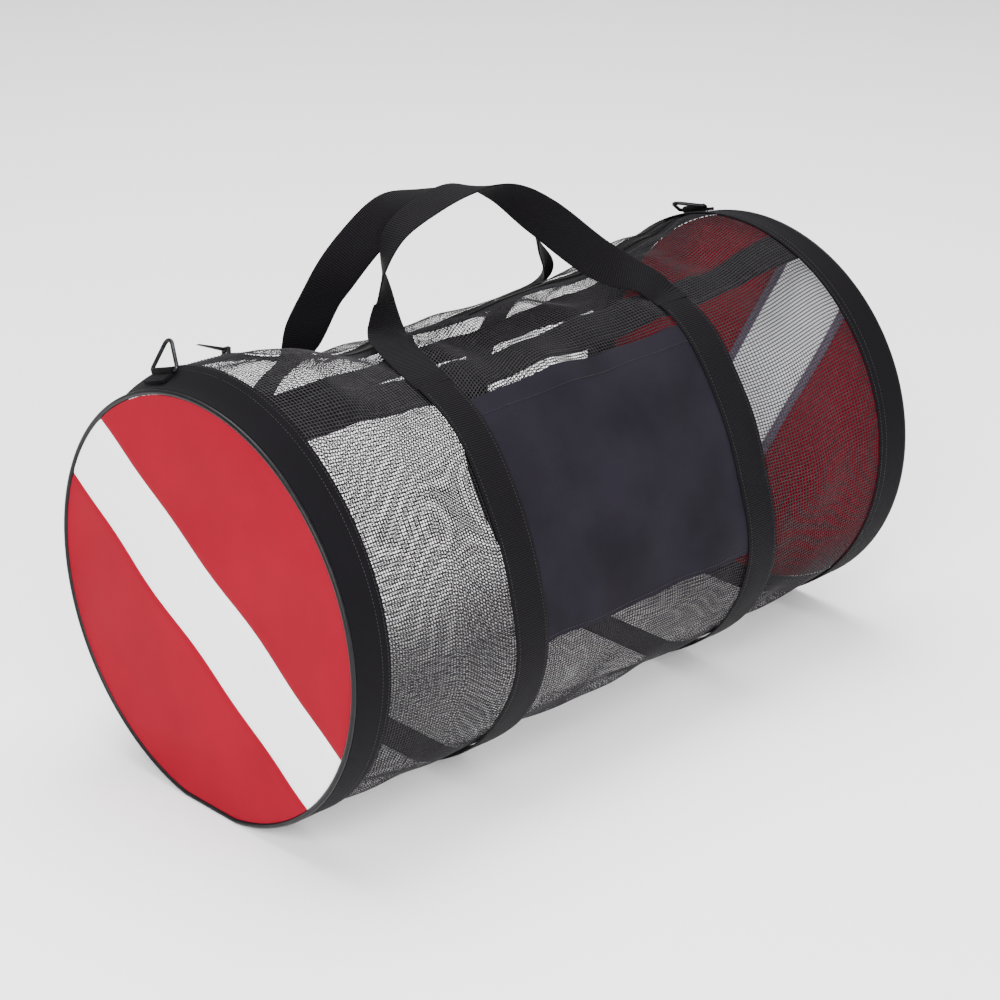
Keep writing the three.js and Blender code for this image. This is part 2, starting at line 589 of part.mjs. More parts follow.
// Shoulder ring of bent wire in a webbing tab on each end band. Bar along y at the origin.
function ringLine() {
  const corner = (middle, radius, from, sweep, count) => Array.from({ length: count + 1 }, (_, k) => {
    const angle = from + (sweep * k) / count;
    return new THREE.Vector2(middle.x + radius * Math.cos(angle), middle.y + radius * Math.sin(angle));
  });
  const right = new THREE.Vector2(RING_STRAIGHT / 2, RING_CORNER);
  const left = new THREE.Vector2(-RING_STRAIGHT / 2, RING_CORNER);
  const top = new THREE.Vector2(0, RING_HEIGHT - RING_TIP / Math.cos(RING_LEG_ANGLE));
  const outwards = Math.PI / 2 - RING_LEG_ANGLE;
  return [
    ...corner(right, RING_CORNER, -Math.PI / 2, Math.PI / 2 + outwards, 5),
    ...corner(top, RING_TIP, outwards, Math.PI - 2 * outwards, 6),
    ...corner(left, RING_CORNER, Math.PI - outwards, Math.PI / 2 + outwards, 5),
  ];
}

function ring() {
  const line = ringLine();
  const sides = 8;
  const rings = line.map((point, i) => {
    const before = line[(i + line.length - 1) % line.length];
    const after = line[(i + 1) % line.length];
    const tangent = after.clone().sub(before).normalize();
    const outwards = new THREE.Vector3(0, tangent.y, -tangent.x);
    const middle = new THREE.Vector3(0, point.x, point.y);
    return Array.from({ length: sides }, (_, k) => {
      const turn = (2 * Math.PI * k) / sides;
      const ringPoint = middle.clone().addScaledVector(outwards, (RING_WIRE / 2) * Math.cos(turn));
      return ringPoint.add(new THREE.Vector3((RING_WIRE / 2) * Math.sin(turn), 0, 0));
    });
  });
  return loop(rings);
}

// Side view of the tab, extruded across: a loop round the bar with its two ends sewn down
function ringTab(side) {
  const bore = RING_WIRE / 2 + SMALL_GAP;
  const outer = bore + TAB_WALL;
  const tail = 2 * TAB_WALL;
  const outline = new THREE.Shape();
  outline.moveTo(TAB_TAIL, -outer);
  outline.lineTo(TAB_TAIL, -outer + tail);
  const meet = Math.asin((tail - outer) / outer);
  outline.lineTo(outer * Math.cos(meet), outer * Math.sin(meet));
  outline.absarc(0, 0, outer, meet, (3 * Math.PI) / 2, false);
  const hole = new THREE.Path();
  hole.absarc(0, 0, bore, 0, 2 * Math.PI, true);
  outline.holes.push(hole);
  const options = { depth: TAB_WIDTH, bevelEnabled: false, curveSegments: 12 };
  const geometry = new THREE.ExtrudeGeometry(outline, options).rotateX(Math.PI / 2);
  geometry.translate(0, TAB_WIDTH / 2, 0);
  return side < 0 ? geometry.rotateZ(Math.PI) : geometry;
}

function shoulderRing(end) {
  const lift = RIM_LIFT + SMALL_GAP + TAB_WALL + SMALL_GAP + RING_WIRE / 2;
  const x = end.side * (BAND_INNER + BAND_WIDTH / 2 - 2);
  const place = seat(x, () => RING_ANGLE, lift);
  const leaning = new THREE.Matrix4().makeRotationY(-end.side * radians(end.lean));
  add(`ring_tab_${end.name}`, ringTab(end.side), 'webbing', place);
  add(`d_ring_${end.name}`, ring(), 'steel', place.clone().multiply(leaning));
}

ENDS.forEach((end) => {
  add(`end_band_${end.name}`, endBand(end), 'nylon');
  add(`piping_${end.name}`, piping(end), 'piping');
  endPanels(end);
  add(`girth_strap_${end.name}`, girthStrap(end.side), 'webbing');
  shoulderRing(end);
});
add('pocket_panel', pocketPanel(), 'pocket');
add('inner_webbing_front', innerWebbing(INNER_WEBBING_FRONT), 'webbing');
add('inner_webbing_back', innerWebbing(INNER_WEBBING_BACK), 'webbing');
zip();
add('handle_front', handle(HANDLE_FRONT, STRAP_END_FRONT, STRAP_END_FRONT), 'webbing');
add('handle_back', handle(HANDLE_BACK, STRAP_END_BACK, STRAP_END_BACK), 'webbing');

export default group;
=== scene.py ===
"""Mesh dive gear bag: a tube of open knitted mesh between two coated nylon end panels.

The tube lies on its side. X runs along it, the pocket is at the front (-Y) and +Z is up. Sizes
are in millimetres and angles in degrees round the bag, from its top towards the back; both are
turned to Blender's metres and radians where they are used. Every cloth layer follows one sagging
surface, BagSurface, lifted by the layers beneath it.
"""

import json
import logging
import math
from dataclasses import dataclass
from enum import Enum
from typing import Any, NamedTuple, Sequence

import bmesh
import bpy
import numpy as np
from mathutils import Matrix, Vector


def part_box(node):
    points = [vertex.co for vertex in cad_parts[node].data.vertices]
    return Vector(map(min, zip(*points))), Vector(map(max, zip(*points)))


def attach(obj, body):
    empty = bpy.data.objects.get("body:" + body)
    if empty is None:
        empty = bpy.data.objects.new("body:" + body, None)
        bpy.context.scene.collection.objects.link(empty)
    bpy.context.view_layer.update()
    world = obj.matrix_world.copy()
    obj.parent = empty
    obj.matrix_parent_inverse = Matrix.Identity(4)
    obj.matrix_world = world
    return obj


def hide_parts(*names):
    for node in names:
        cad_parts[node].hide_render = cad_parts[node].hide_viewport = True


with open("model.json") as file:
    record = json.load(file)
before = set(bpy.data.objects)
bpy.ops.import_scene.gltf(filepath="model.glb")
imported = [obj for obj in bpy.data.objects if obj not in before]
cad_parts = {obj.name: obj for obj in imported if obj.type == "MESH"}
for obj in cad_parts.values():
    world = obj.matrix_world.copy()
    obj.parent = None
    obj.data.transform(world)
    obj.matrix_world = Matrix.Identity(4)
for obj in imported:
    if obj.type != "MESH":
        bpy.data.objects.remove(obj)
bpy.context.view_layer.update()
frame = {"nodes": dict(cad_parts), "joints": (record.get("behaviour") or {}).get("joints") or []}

MM = 0.001
BAG = "bag"
CLOTH_UV = "cloth"
log = logging.getLogger("mesh_dive_bag")

Array = np.ndarray
Line = tuple[Array, Array]  # a line's points and the directions out of the cloth there
Object = bpy.types.Object
Material = bpy.types.Material
Tree = bpy.types.NodeTree
Node = bpy.types.Node
Socket = bpy.types.NodeSocket


# The sagging surface that all the cloth follows

class Section(NamedTuple):
    """How the body sags at one place along it. at is a share of the half length, and the others
    are shares of the radius: the top dips, the front flattens, low bulges and floor spreads."""

    at: float
    top: float
    front: float
    low: float
    floor: float


class Zone(NamedTuple):
    """Where a column of the sections acts: its middle, half its spread and its sign."""

    angle: float
    reach: float
    sign: int


class Fold(NamedTuple):
    """A soft fold. at and length are shares of the half length, angle and spread are degrees,
    depth is a share of the radius (negative dents) and slant is degrees per half length."""

    at: float
    angle: float
    length: float
    spread: float
    depth: float
    slant: float


class Wave(NamedTuple):
    """A ripple: millimetres along the bag for a radian, whole waves round it, and its phase."""

    length: float
    round: int
    phase: float


SECTIONS = (
    Section(-0.98, 0.000, 0.000, 0.000, 0.000),
    Section(-0.88, -0.060, 0.000, 0.000, 0.000),
    Section(-0.74, -0.055, 0.030, 0.014, 0.020),
    Section(-0.42, 0.085, 0.094, 0.030, 0.040),
    Section(-0.10, 0.095, 0.100, 0.034, 0.046),
    Section(0.18, 0.090, 0.110, 0.034, 0.046),
    Section(0.42, 0.080, 0.116, 0.030, 0.040),
    Section(0.74, 0.022, 0.040, 0.014, 0.020),
    Section(0.88, -0.030, 0.000, 0.000, 0.000),
    Section(0.98, 0.000, 0.000, 0.000, 0.000),
)
# For the sections' columns in turn: top, front, low and floor
ZONES = (Zone(14, 78, -1), Zone(-66, 52, -1), Zone(-120, 42, 1), Zone(180, 62, 1))
FOLDS = (
    Fold(-0.66, -6, 0.24, 10, 0.024, 30),
    Fold(-0.58, 20, 0.22, 12, -0.026, 40),
    Fold(-0.16, 4, 0.26, 10, 0.022, -24),
    Fold(-0.05, 22, 0.28, 12, -0.030, -20),
    Fold(0.32, 10, 0.24, 11, -0.024, 26),
    Fold(0.64, -8, 0.20, 12, -0.030, -40),
    Fold(0.70, 26, 0.20, 12, 0.020, 30),
    Fold(0.10, -118, 0.34, 13, -0.020, 12),
    Fold(-0.62, -112, 0.22, 14, -0.018, -30),
    Fold(0.66, -104, 0.22, 14, -0.022, 36),
)
# Two ripples, each the product of two waves that cross
RIPPLES = ((Wave(17, 6, 0), Wave(41, -4, 0)), (Wave(29, -9, 1.3), Wave(90, 3, 0)))
# The zip's wandering line: a share of the half length and degrees
ZIP_LINE = (
    (-0.88, 26), (-0.68, 24), (-0.46, 10), (-0.40, 10), (-0.26, 16),
    (-0.10, 22), (0.20, 21), (0.55, 18), (0.88, 22),
)


def gentle(share: Array) -> Array:
    """Turns an even share from 0 to 1 into one that starts and ends gently."""
    return share * share * (3 - 2 * share)


def eased(table: Sequence[Sequence[float]], column: int, at: Array) -> Array:
    """Reads a table's column at places between its rows, easing from row to row.

    Args:
        table: rows whose first value is the place.
        column: the column to read.
        at: the places.

    Returns:
        The column's value at each place.
    """
    rows = np.array(table, float)
    inside = np.clip(at, rows[0, 0], rows[-1, 0])
    row = np.clip(np.searchsorted(rows[:, 0], inside, side="right") - 1, 0, len(rows) - 2)
    share = gentle((inside - rows[row, 0]) / (rows[row + 1, 0] - rows[row, 0]))
    return rows[row, column] * (1 - share) + rows[row + 1, column] * share


def hill(distance: Array, reach: float) -> Array:
    """A smooth hill, 1 in its middle and 0 from its reach on."""
    return (1 + np.cos(np.pi * np.minimum(1, np.abs(distance) / reach))) / 2


def turn_between(angle: Array, middle: Array) -> Array:
    """The signed turn in degrees from middle to angle."""
    return (angle - middle + 180) % 360 - 180


def together(*parts: Array) -> Array:
    """Joins coordinates to points, repeating each where the others go on."""
    return np.stack(np.broadcast_arrays(*parts), axis=-1)


def unit(vectors: Array) -> Array:
    """Brings vectors to the length 1."""
    return vectors / np.linalg.norm(vectors, axis=-1, keepdims=True)


@dataclass(frozen=True)
class BagSurface:
    """The outside of the mesh, and every layer over or under it. wrinkle is the ripples' height,
    top_slack how much deeper they are at the top, and strap_hold how much of them a strap
    takes; the fades are the distances from band, zip, strap and top at which they are whole."""

    length: float = 700.0
    radius: float = 190.0
    rest_flat: float = 3.0
    cloth_gap: float = 0.4
    mesh_wall: float = 1.0
    band_width: float = 36.0
    band_wall: float = 1.5
    seam_tuck: float = 12.0
    piping_diameter: float = 4.5
    webbing_width: float = 38.0
    webbing_wall: float = 1.8
    pocket_wall: float = 0.8
    strap_spacing: float = 296.0
    wrinkle: float = 1.7
    top_slack: float = 1.4
    strap_hold: float = 0.85
    band_fade: float = 60.0
    zip_fade: float = 20.0
    strap_fade: float = 45.0
    top_middle: float = 5.0
    top_fade: float = 75.0

    @property
    def half(self) -> float:
        """Half of the length over the piping."""
        return self.length / 2

    @property
    def centre_z(self) -> float:
        """Height of the tube's axis."""
        return self.radius - self.rest_flat

    @property
    def rim_lift(self) -> float:
        """From the mesh to the outside of an end band."""
        return self.band_wall + self.cloth_gap

    @property
    def strap_lift(self) -> float:
        """From the mesh to the underside of a girth strap, over the pocket's cloth."""
        return 2 * self.cloth_gap + self.pocket_wall

    @property
    def mesh_radius(self) -> float:
        """Radius of the mesh's outside where it doesn't sag."""
        return self.radius - self.rim_lift

    @property
    def band_inner(self) -> float:
        """Distance from the middle to the inner edge of an end band."""
        return self.half - self.band_width - self.piping_diameter

    @property
    def mesh_end(self) -> float:
        """Distance from the middle to the hidden end of the mesh."""
        return self.band_inner + self.seam_tuck

    @property
    def strap_x(self) -> float:
        """Distance from the middle to a girth strap's centre line."""
        return self.strap_spacing / 2

    def degrees_of(self, width: float) -> float:
        """The angle that a width takes round the mesh."""
        return math.degrees(width / self.mesh_radius)

    def girth_of(self, angles: Array) -> Array:
        """The way round the mesh that angles take."""
        return np.radians(angles) * self.mesh_radius

    def zip_angle(self, x: Array) -> Array:
        """The zip's centre line, in degrees round the bag."""
        return eased(ZIP_LINE, 1, np.asarray(x, float) / self.half)

    def mesh_radius_at(self, x: Array, angle: Array) -> Array:
        """Radius of the sagging mesh.

        Args:
            x: places along the bag.
            angle: places round it.

        Returns:
            The radius of the mesh's outside there.
        """
        at = x / self.half
        share = np.ones(np.broadcast(x, angle).shape)
        for column, zone in enumerate(ZONES, start=1):
            amount = eased(SECTIONS, column, at)
            share = share + zone.sign * amount * hill(turn_between(angle, zone.angle), zone.reach)
        for fold in FOLDS:
            along = at - fold.at
            ridge = turn_between(angle, fold.angle + fold.slant * along)
            share = share + fold.depth * hill(along, fold.length) * hill(ridge, fold.spread)
        return self.mesh_radius * share + self.ripple(x, angle)

    def ripple(self, x: Array, angle: Array) -> Array:
        """The ripples of slack cloth, deeper at the top, where only bands, straps and zip hold it.

        Args:
            x: places along the bag.
            angle: places round it.

        Returns:
            The ripples' height there.
        """
        fade = np.clip((self.band_inner - np.abs(x)) / self.band_fade, 0, 1)
        fade = fade * (1 - hill(turn_between(angle, self.zip_angle(x)), self.zip_fade))
        fade = fade * (1 - self.strap_hold * hill(np.abs(x) - self.strap_x, self.strap_fade))
        top = hill(turn_between(angle, self.top_middle), self.top_fade)
        turn = np.radians(angle)
        crossed = sum(
            np.sin(x / one.length + one.round * turn + one.phase)
            * np.sin(x / two.length + two.round * turn + two.phase)
            for one, two in RIPPLES
        )
        return self.wrinkle * fade * (1 + self.top_slack * top) * crossed

    def point(self, x: Array, angle: Array, lift: Array) -> Array:
        """Points lifted off the mesh's outside.

        Args:
            x: places along the bag.
            angle: places round it.
            lift: height over the mesh, negative inside.

        Returns:
            An array of points in millimetres, with the shape of the places.
        """
        given = (np.asarray(part, float) for part in (x, angle, lift))
        x, angle, lift = np.moveaxis(together(*given), -1, 0)
        radius = self.mesh_radius_at(x, angle) + lift
        share = gentle(np.clip((self.band_inner - np.abs(x)) / (self.band_inner / 2), 0, 1))
        strap_top = self.strap_lift + self.webbing_wall
        floor = self.rim_lift * (1 - share) + strap_top * share - lift
        turn = np.radians(angle)
        height = np.maximum(self.centre_z + radius * np.cos(turn), floor)
        return together(x, radius * np.sin(turn), height)


SURFACE = BagSurface()


# Meshes and Geometry Nodes

def feed(tree: Tree, node: Node, inputs: dict[str | int, Any]) -> None:
    """Sets a node's inputs.

    Args:
        tree: the node's tree.
        node: the node.
        inputs: by socket name or number, the value of the input, the socket that feeds it or
            the node whose first output does.
    """
    for key, value in inputs.items():
        value = value.outputs[0] if isinstance(value, Node) else value
        if isinstance(value, Socket):
            tree.links.new(value, node.inputs[key])
        else:
            node.inputs[key].default_value = value


def add_node(
    tree: Tree, kind: str, inputs: dict[str | int, Any] | None = None, **settings: Any
) -> Node:
    """Adds a node with its settings and links.

    Args:
        tree: the tree to add to.
        kind: the node's type.
        inputs: what feeds its inputs, as for feed.
        settings: the node's own properties.

    Returns:
        The new node.
    """
    node = tree.nodes.new(kind)
    for name, value in settings.items():
        setattr(node, name, value)
    feed(tree, node, inputs or {})
    return node


def new_object(name: str, data: bpy.types.ID) -> Object:
    """Links a new object to the scene.

    Args:
        name: the object's name.
        data: its mesh, light or camera.

    Returns:
        The object.
    """
    obj = bpy.data.objects.new(name, data)
    bpy.context.scene.collection.objects.link(obj)
    return obj


def settle(obj: Object, body: str, slot: str, *nodes: str) -> None:
    """Rides a finished piece on its body and hides the solids that it stands for.

    Args:
        obj: the piece.
        body: the body that it moves with.
        slot: the record's material slot; not used.
        nodes: the solids that it replaces.
    """
    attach(obj, body)
    if nodes:
        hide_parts(*nodes)
    log.info("%s: %d faces, on %s", obj.name, len(obj.data.polygons), body)


def apply_modifiers(obj: Object) -> None:
    """Turns an object's evaluated shape into its plain mesh and removes its modifiers.

    Args:
        obj: the object.
    """
    graph = bpy.context.evaluated_depsgraph_get()
    mesh = bpy.data.meshes.new_from_object(
        obj.evaluated_get(graph), preserve_all_data_layers=True, depsgraph=graph
    )
    obj.modifiers.clear()
    obj.data = mesh


def face_outwards(mesh: bpy.types.Mesh, sharp: float = 40.0) -> None:
    """Shades a closed mesh smooth, with sharp edges where it turns, and turns it right side out.

    Args:
        mesh: the mesh to finish.
        sharp: the least angle in degrees between two faces that stays an edge.
    """
    shape = bmesh.new()
    shape.from_mesh(mesh)
    if shape.calc_volume(signed=True) < 0:
        bmesh.ops.reverse_faces(shape, faces=shape.faces)
    for part in shape.faces:
        part.smooth = True
    for edge in shape.edges:
        edge.smooth = len(edge.link_faces) == 2 and edge.calc_face_angle(0) < math.radians(sharp)
    shape.to_mesh(mesh)
    shape.free()


def cloth_object(name: str, points: Array, faces: Sequence[Sequence[int]], places: Array) -> Object:
    """A closed object with its places on the flat cloth as a UV map in metres.

    Args:
        name: the object's name.
        points: its points in millimetres.
        faces: the numbers of each face's points.
        places: the place of each face's corner on the cloth, in millimetres.

    Returns:
        The new object.
    """
    mesh = bpy.data.meshes.new(name)
    mesh.from_pydata((points.reshape(-1, 3) * MM).tolist(), [], faces)
    layer = mesh.uv_layers.new(name=CLOTH_UV)
    layer.data.foreach_set("uv", (places * MM).astype(np.float32).ravel())
    face_outwards(mesh)
    return new_object(name, mesh)


def slab(name: str, outer: Array, inner: Array, uv: Array, wraps: bool = False) -> Object:
    """A closed sheet with a wall between an outer and an inner grid of points.

    Args:
        name: the object's name.
        outer: rows by columns of points in millimetres.
        inner: the same for the other side.
        uv: rows by columns of places on the flat cloth in millimetres, with one column more
            where the sheet wraps.
        wraps: whether the last column joins the first.

    Returns:
        The new object.
    """
    rows, columns = outer.shape[:2]
    spans = columns if wraps else columns - 1
    i, j = np.indices((rows - 1, spans)).reshape(2, -1)
    across, along = np.arange(spans), np.arange(rows - 1)
    low, high = np.zeros_like(across), np.full_like(across, rows - 1)
    # Each group of quads is a ring of corners, and a corner is a side, its rows and its columns
    groups = [
        [(0, i, j), (0, i + 1, j), (0, i + 1, j + 1), (0, i, j + 1)],
        [(1, i, j), (1, i, j + 1), (1, i + 1, j + 1), (1, i + 1, j)],
        [(0, low, across), (0, low, across + 1), (1, low, across + 1), (1, low, across)],
        [(0, high, across), (1, high, across), (1, high, across + 1), (0, high, across + 1)],
    ]
    if not wraps:
        left, right = np.zeros_like(along), np.full_like(along, spans)
        groups += [
            [(0, along, left), (1, along, left), (1, along + 1, left), (0, along + 1, left)],
            [(0, along, right), (0, along + 1, right), (1, along + 1, right), (1, along, right)],
        ]
    faces = np.concatenate([
        np.stack([(side * rows + r) * columns + c % columns for side, r, c in group], axis=-1)
        for group in groups
    ])
    places = np.concatenate([np.stack([uv[r, c] for _, r, c in group], axis=1) for group in groups])
    return cloth_object(name, np.stack([outer, inner]), faces.tolist(), places)


def tube(name: str, rings: Array) -> Object:
    """A closed loop of tube through rings of points, with its girth and length as the UV map.

    Args:
        name: the object's name.
        rings: rings by points round each, in millimetres.

    Returns:
        The new object.
    """
    count, sides = rings.shape[:2]
    i, j = np.indices((count, sides)).reshape(2, -1)
    quad = [(i, j), (i + 1, j), (i + 1, j + 1), (i, j + 1)]
    faces = np.stack([(a % count) * sides + b % sides for a, b in quad], axis=-1)
    centres = rings.mean(axis=1)
    steps = np.linalg.norm(np.diff(centres, axis=0, append=centres[:1]), axis=-1)
    run = np.concatenate([[0], np.cumsum(steps)])
    girth = np.linalg.norm(rings[0, 0] - centres[0]) * math.tau
    places = np.stack([together(b * girth / sides, run[a]) for a, b in quad], axis=1)
    return cloth_object(name, rings, faces.tolist(), places)


class Repeat(Enum):
    """What Geometry Nodes lay along a line."""

    THREAD = "one flat thread"
    STITCH = "a row of stitches"
    TOOTH = "a row of zip teeth"


# A three-sided thread is drawn this much over half its width, so that it covers as much
THREAD_RADIUS = 0.58


def repeat_tree(repeat: Repeat) -> Tree:
    """The node tree that lays a repeat along the lines of a mesh, made once.

    Args:
        repeat: what it lays.

    Returns:
        A tree with the inputs Pitch, Size and Finish: the distance between two, and the size of
        one along the line, across it and out of the cloth. A thread uses the last two.
    """
    name = f"lay_{repeat.name.lower()}"
    if name in bpy.data.node_groups:
        return bpy.data.node_groups[name]
    tree = bpy.data.node_groups.new(name, "GeometryNodeTree")
    sockets = (
        ("Geometry", "INPUT", "NodeSocketGeometry"), ("Pitch", "INPUT", "NodeSocketFloat"),
        ("Size", "INPUT", "NodeSocketVector"), ("Finish", "INPUT", "NodeSocketMaterial"),
        ("Geometry", "OUTPUT", "NodeSocketGeometry"),
    )
    for label, side, kind in sockets:
        tree.interface.new_socket(name=label, in_out=side, socket_type=kind)
    given = add_node(tree, "NodeGroupInput").outputs
    curve = add_node(tree, "GeometryNodeMeshToCurve", {"Mesh": given["Geometry"]})
    outward = add_node(
        tree, "GeometryNodeInputNamedAttribute", {"Name": "outward"}, data_type="FLOAT_VECTOR"
    )
    if repeat is Repeat.THREAD:
        upright = add_node(
            tree, "GeometryNodeSetCurveNormal", {"Curve": curve, "Normal": outward}, mode="FREE"
        )
        size = add_node(tree, "ShaderNodeSeparateXYZ", {0: given["Size"]}).outputs
        flat = add_node(tree, "ShaderNodeCombineXYZ", {"X": size["Z"], "Y": size["Y"], "Z": 1.0})
        circle = {"Resolution": 3, "Radius": THREAD_RADIUS}
        ring = add_node(tree, "GeometryNodeCurvePrimitiveCircle", circle)
        oval = add_node(tree, "GeometryNodeTransform", {"Geometry": ring, "Scale": flat})
        made = add_node(tree, "GeometryNodeCurveToMesh", {"Curve": upright, "Profile Curve": oval})
    else:
        spacing = {"Curve": curve, "Length": given["Pitch"]}
        spaced = add_node(tree, "GeometryNodeResampleCurve", spacing, mode="LENGTH")
        tangent = add_node(tree, "GeometryNodeInputTangent")
        upright = add_node(tree, "FunctionNodeAlignRotationToVector", {"Vector": outward}, axis="Z")
        turned = add_node(
            tree, "FunctionNodeAlignRotationToVector",
            {"Rotation": upright, "Vector": tangent}, axis="X", pivot_axis="Z",
        )
        if repeat is Repeat.STITCH:
            ball = {"Segments": 5, "Rings": 3, "Radius": 0.5}
            shape = add_node(tree, "GeometryNodeMeshUVSphere", ball)
        else:
            shape = add_node(tree, "GeometryNodeMeshCube", {"Size": (1, 1, 1)})
        sized = add_node(tree, "GeometryNodeTransform", {"Geometry": shape, "Scale": given["Size"]})
        laid = {"Points": spaced, "Instance": sized, "Rotation": turned}
        made = add_node(tree, "GeometryNodeInstanceOnPoints", laid)
    real = add_node(tree, "GeometryNodeRealizeInstances", {"Geometry": made})
    rounded = {"Geometry": real, "Shade Smooth": repeat is not Repeat.TOOTH}
    smooth = add_node(tree, "GeometryNodeSetShadeSmooth", rounded)
    dyed = {"Geometry": smooth, "Material": given["Finish"]}
    add_node(tree, "NodeGroupOutput", {"Geometry": add_node(tree, "GeometryNodeSetMaterial", dyed)})
    return tree


def lay(
    name: str, lines: Sequence[Line], repeat: Repeat, pitch: float, size: Sequence[float],
    finish: Material,
) -> Object:
    """Lays a repeat along lines.

    Args:
        name: the object's name.
        lines: the lines; the directions out of the cloth are kept as the attribute "outward".
        repeat: what to lay.
        pitch: distance between two, in millimetres.
        size: of one, along the line, across it and out of the cloth, in millimetres.
        finish: its material.

    Returns:
        The new object, a plain mesh.
    """
    points, outward = (np.concatenate(part) for part in zip(*lines))
    starts = np.cumsum([0] + [len(line[0]) for line in lines])
    edges = np.concatenate([
        np.stack([np.arange(a, b - 1), np.arange(a + 1, b)], axis=1)
        for a, b in zip(starts[:-1], starts[1:])
    ])
    mesh = bpy.data.meshes.new(name)
    mesh.from_pydata((points * MM).tolist(), edges.tolist(), [])
    layer = mesh.attributes.new("outward", "FLOAT_VECTOR", "POINT")
    layer.data.foreach_set("vector", outward.astype(np.float32).ravel())
    obj = new_object(name, mesh)
    modifier = obj.modifiers.new("lay", "NODES")
    modifier.node_group = repeat_tree(repeat)
    values = {"Pitch": pitch * MM, "Size": [side * MM for side in size], "Finish": finish}
    for item in modifier.node_group.interface.items_tree:
        if item.in_out == "INPUT" and item.name in values:
            modifier[item.identifier] = values[item.name]
    apply_modifiers(obj)
    return obj


# Finishes

def linear(colour: str) -> tuple[float, float, float, float]:
    """Turns an sRGB colour to linear RGB.

    Args:
        colour: six hex digits.

    Returns:
        Red, green and blue, with full alpha.
    """
    shares = [int(colour[k:k + 2], 16) / 255 for k in (0, 2, 4)]
    flat = [c / 12.92 if c <= 0.04045 else ((c + 0.055) / 1.055) ** 2.4 for c in shares]
    return (*flat, 1.0)


class Weave(Enum):
    """How the threads of a cloth lie."""

    PLAIN = "over and under one another both ways"
    RIBBED = "heavy ribs across a webbing, with fine warp threads"
    FINE_RIBBED = "low ribs across a tape"


@dataclass(frozen=True)
class Finish:
    """A finish between two colours: the main one and a second, which on cloth is painted shade in
    the gaps of its weave and the colour of its darker patches, and on a hard surface the colour of
    worn patches.
    """

    name: str
    colour: str
    second: str

    def shade(self, tree: Tree, shader: Node, place: Node) -> None:
        """Builds the finish on a new material's shader.

        Args:
            tree: the material's tree.
            shader: its principled shader.
            place: the node with the object's coordinates.
        """
        raise NotImplementedError

    def material(self) -> Material:
        """The material, made once.

        Returns:
            The material with the finish's name.
        """
        if self.name in bpy.data.materials:
            return bpy.data.materials[self.name]
        material = bpy.data.materials.new(self.name)
        material.use_nodes = True
        tree = material.node_tree
        self.shade(tree, tree.nodes["Principled BSDF"], add_node(tree, "ShaderNodeTexCoord"))
        return material


@dataclass(frozen=True)
class ClothFinish(Finish):
    """A woven cloth. Its pattern lies on the UV map "cloth", in metres of the flat cloth."""

    weave: Weave
    pitch: float
    relief: float
    roughness: float = 0.8
    mottle: float = 0.1
    gloss: float = 0.12
    sheen: float = 0.015
    sheen_roughness: float = 0.5
    patch_scale: float = 16.0

    def sine(self, tree: Tree, place: Socket, pitch: float) -> Node:
        """A sine wave along the cloth.

        Args:
            tree: the material's tree.
            place: the place on the cloth.
            pitch: length of a wave in millimetres.

        Returns:
            The node with the wave, from -1 to 1.
        """
        scaled = {0: place, 1: math.tau / (pitch * MM)}
        turn = add_node(tree, "ShaderNodeMath", scaled, operation="MULTIPLY")
        return add_node(tree, "ShaderNodeMath", {0: turn}, operation="SINE")

    def height(self, tree: Tree) -> Node:
        """The weave's height.

        Args:
            tree: the material's tree.

        Returns:
            The node with the height, from 0 in the gaps to 1 on the threads.
        """
        cloth = add_node(tree, "ShaderNodeUVMap", uv_map=CLOTH_UV)
        place = add_node(tree, "ShaderNodeSeparateXYZ", {0: cloth}).outputs
        rib = self.sine(tree, place["Y"], self.pitch)
        if self.weave is Weave.PLAIN:
            threads = {0: self.sine(tree, place["X"], self.pitch), 1: rib}
            mixed = add_node(tree, "ShaderNodeMath", threads, operation="MULTIPLY")
        else:
            # The warp threads are a little closer than the ribs and lower
            warp = self.sine(tree, place["X"], self.pitch * 0.8)
            threads = {0: warp, 1: 0.35 if self.weave is Weave.RIBBED else 0.15, 2: rib}
            mixed = add_node(tree, "ShaderNodeMath", threads, operation="MULTIPLY_ADD")
        return add_node(tree, "ShaderNodeMapRange", {0: mixed, 1: -1.0, 2: 1.0})

    def shade(self, tree: Tree, shader: Node, place: Node) -> None:
        """Builds the woven cloth, as Finish.shade says.

        Args:
            tree: the material's tree.
            shader: its principled shader.
            place: the node with the object's coordinates.
        """
        height = self.height(tree)
        # Dye and handling make patches a few centimetres wide, a little lighter or darker
        noise = {"Vector": place.outputs["Object"], "Scale": self.patch_scale, "Detail": 4.0}
        patches = add_node(tree, "ShaderNodeTexNoise", noise)
        spread = {0: patches, 1: 0.3, 2: 0.7, 3: -self.mottle, 4: self.mottle}
        mottled = add_node(tree, "ShaderNodeMapRange", spread)
        share = add_node(
            tree, "ShaderNodeMath", {0: height, 1: mottled}, operation="ADD", use_clamp=True
        )
        # The weave's gaps take the second colour: painted shade between the threads
        dye_and_gap_shade = {0: share, 6: linear(self.second), 7: linear(self.colour)}
        relief = {"Height": height, "Distance": self.relief * MM, "Strength": 1.0}
        feed(tree, shader, {
            "Base Color": add_node(tree, "ShaderNodeMix", dye_and_gap_shade, data_type="RGBA").outputs[2],
            "Normal": add_node(tree, "ShaderNodeBump", relief),
            "Roughness": self.roughness,
            "Sheen Weight": self.sheen,
            "Sheen Roughness": self.sheen_roughness,
            "Specular IOR Level": self.gloss,
        })


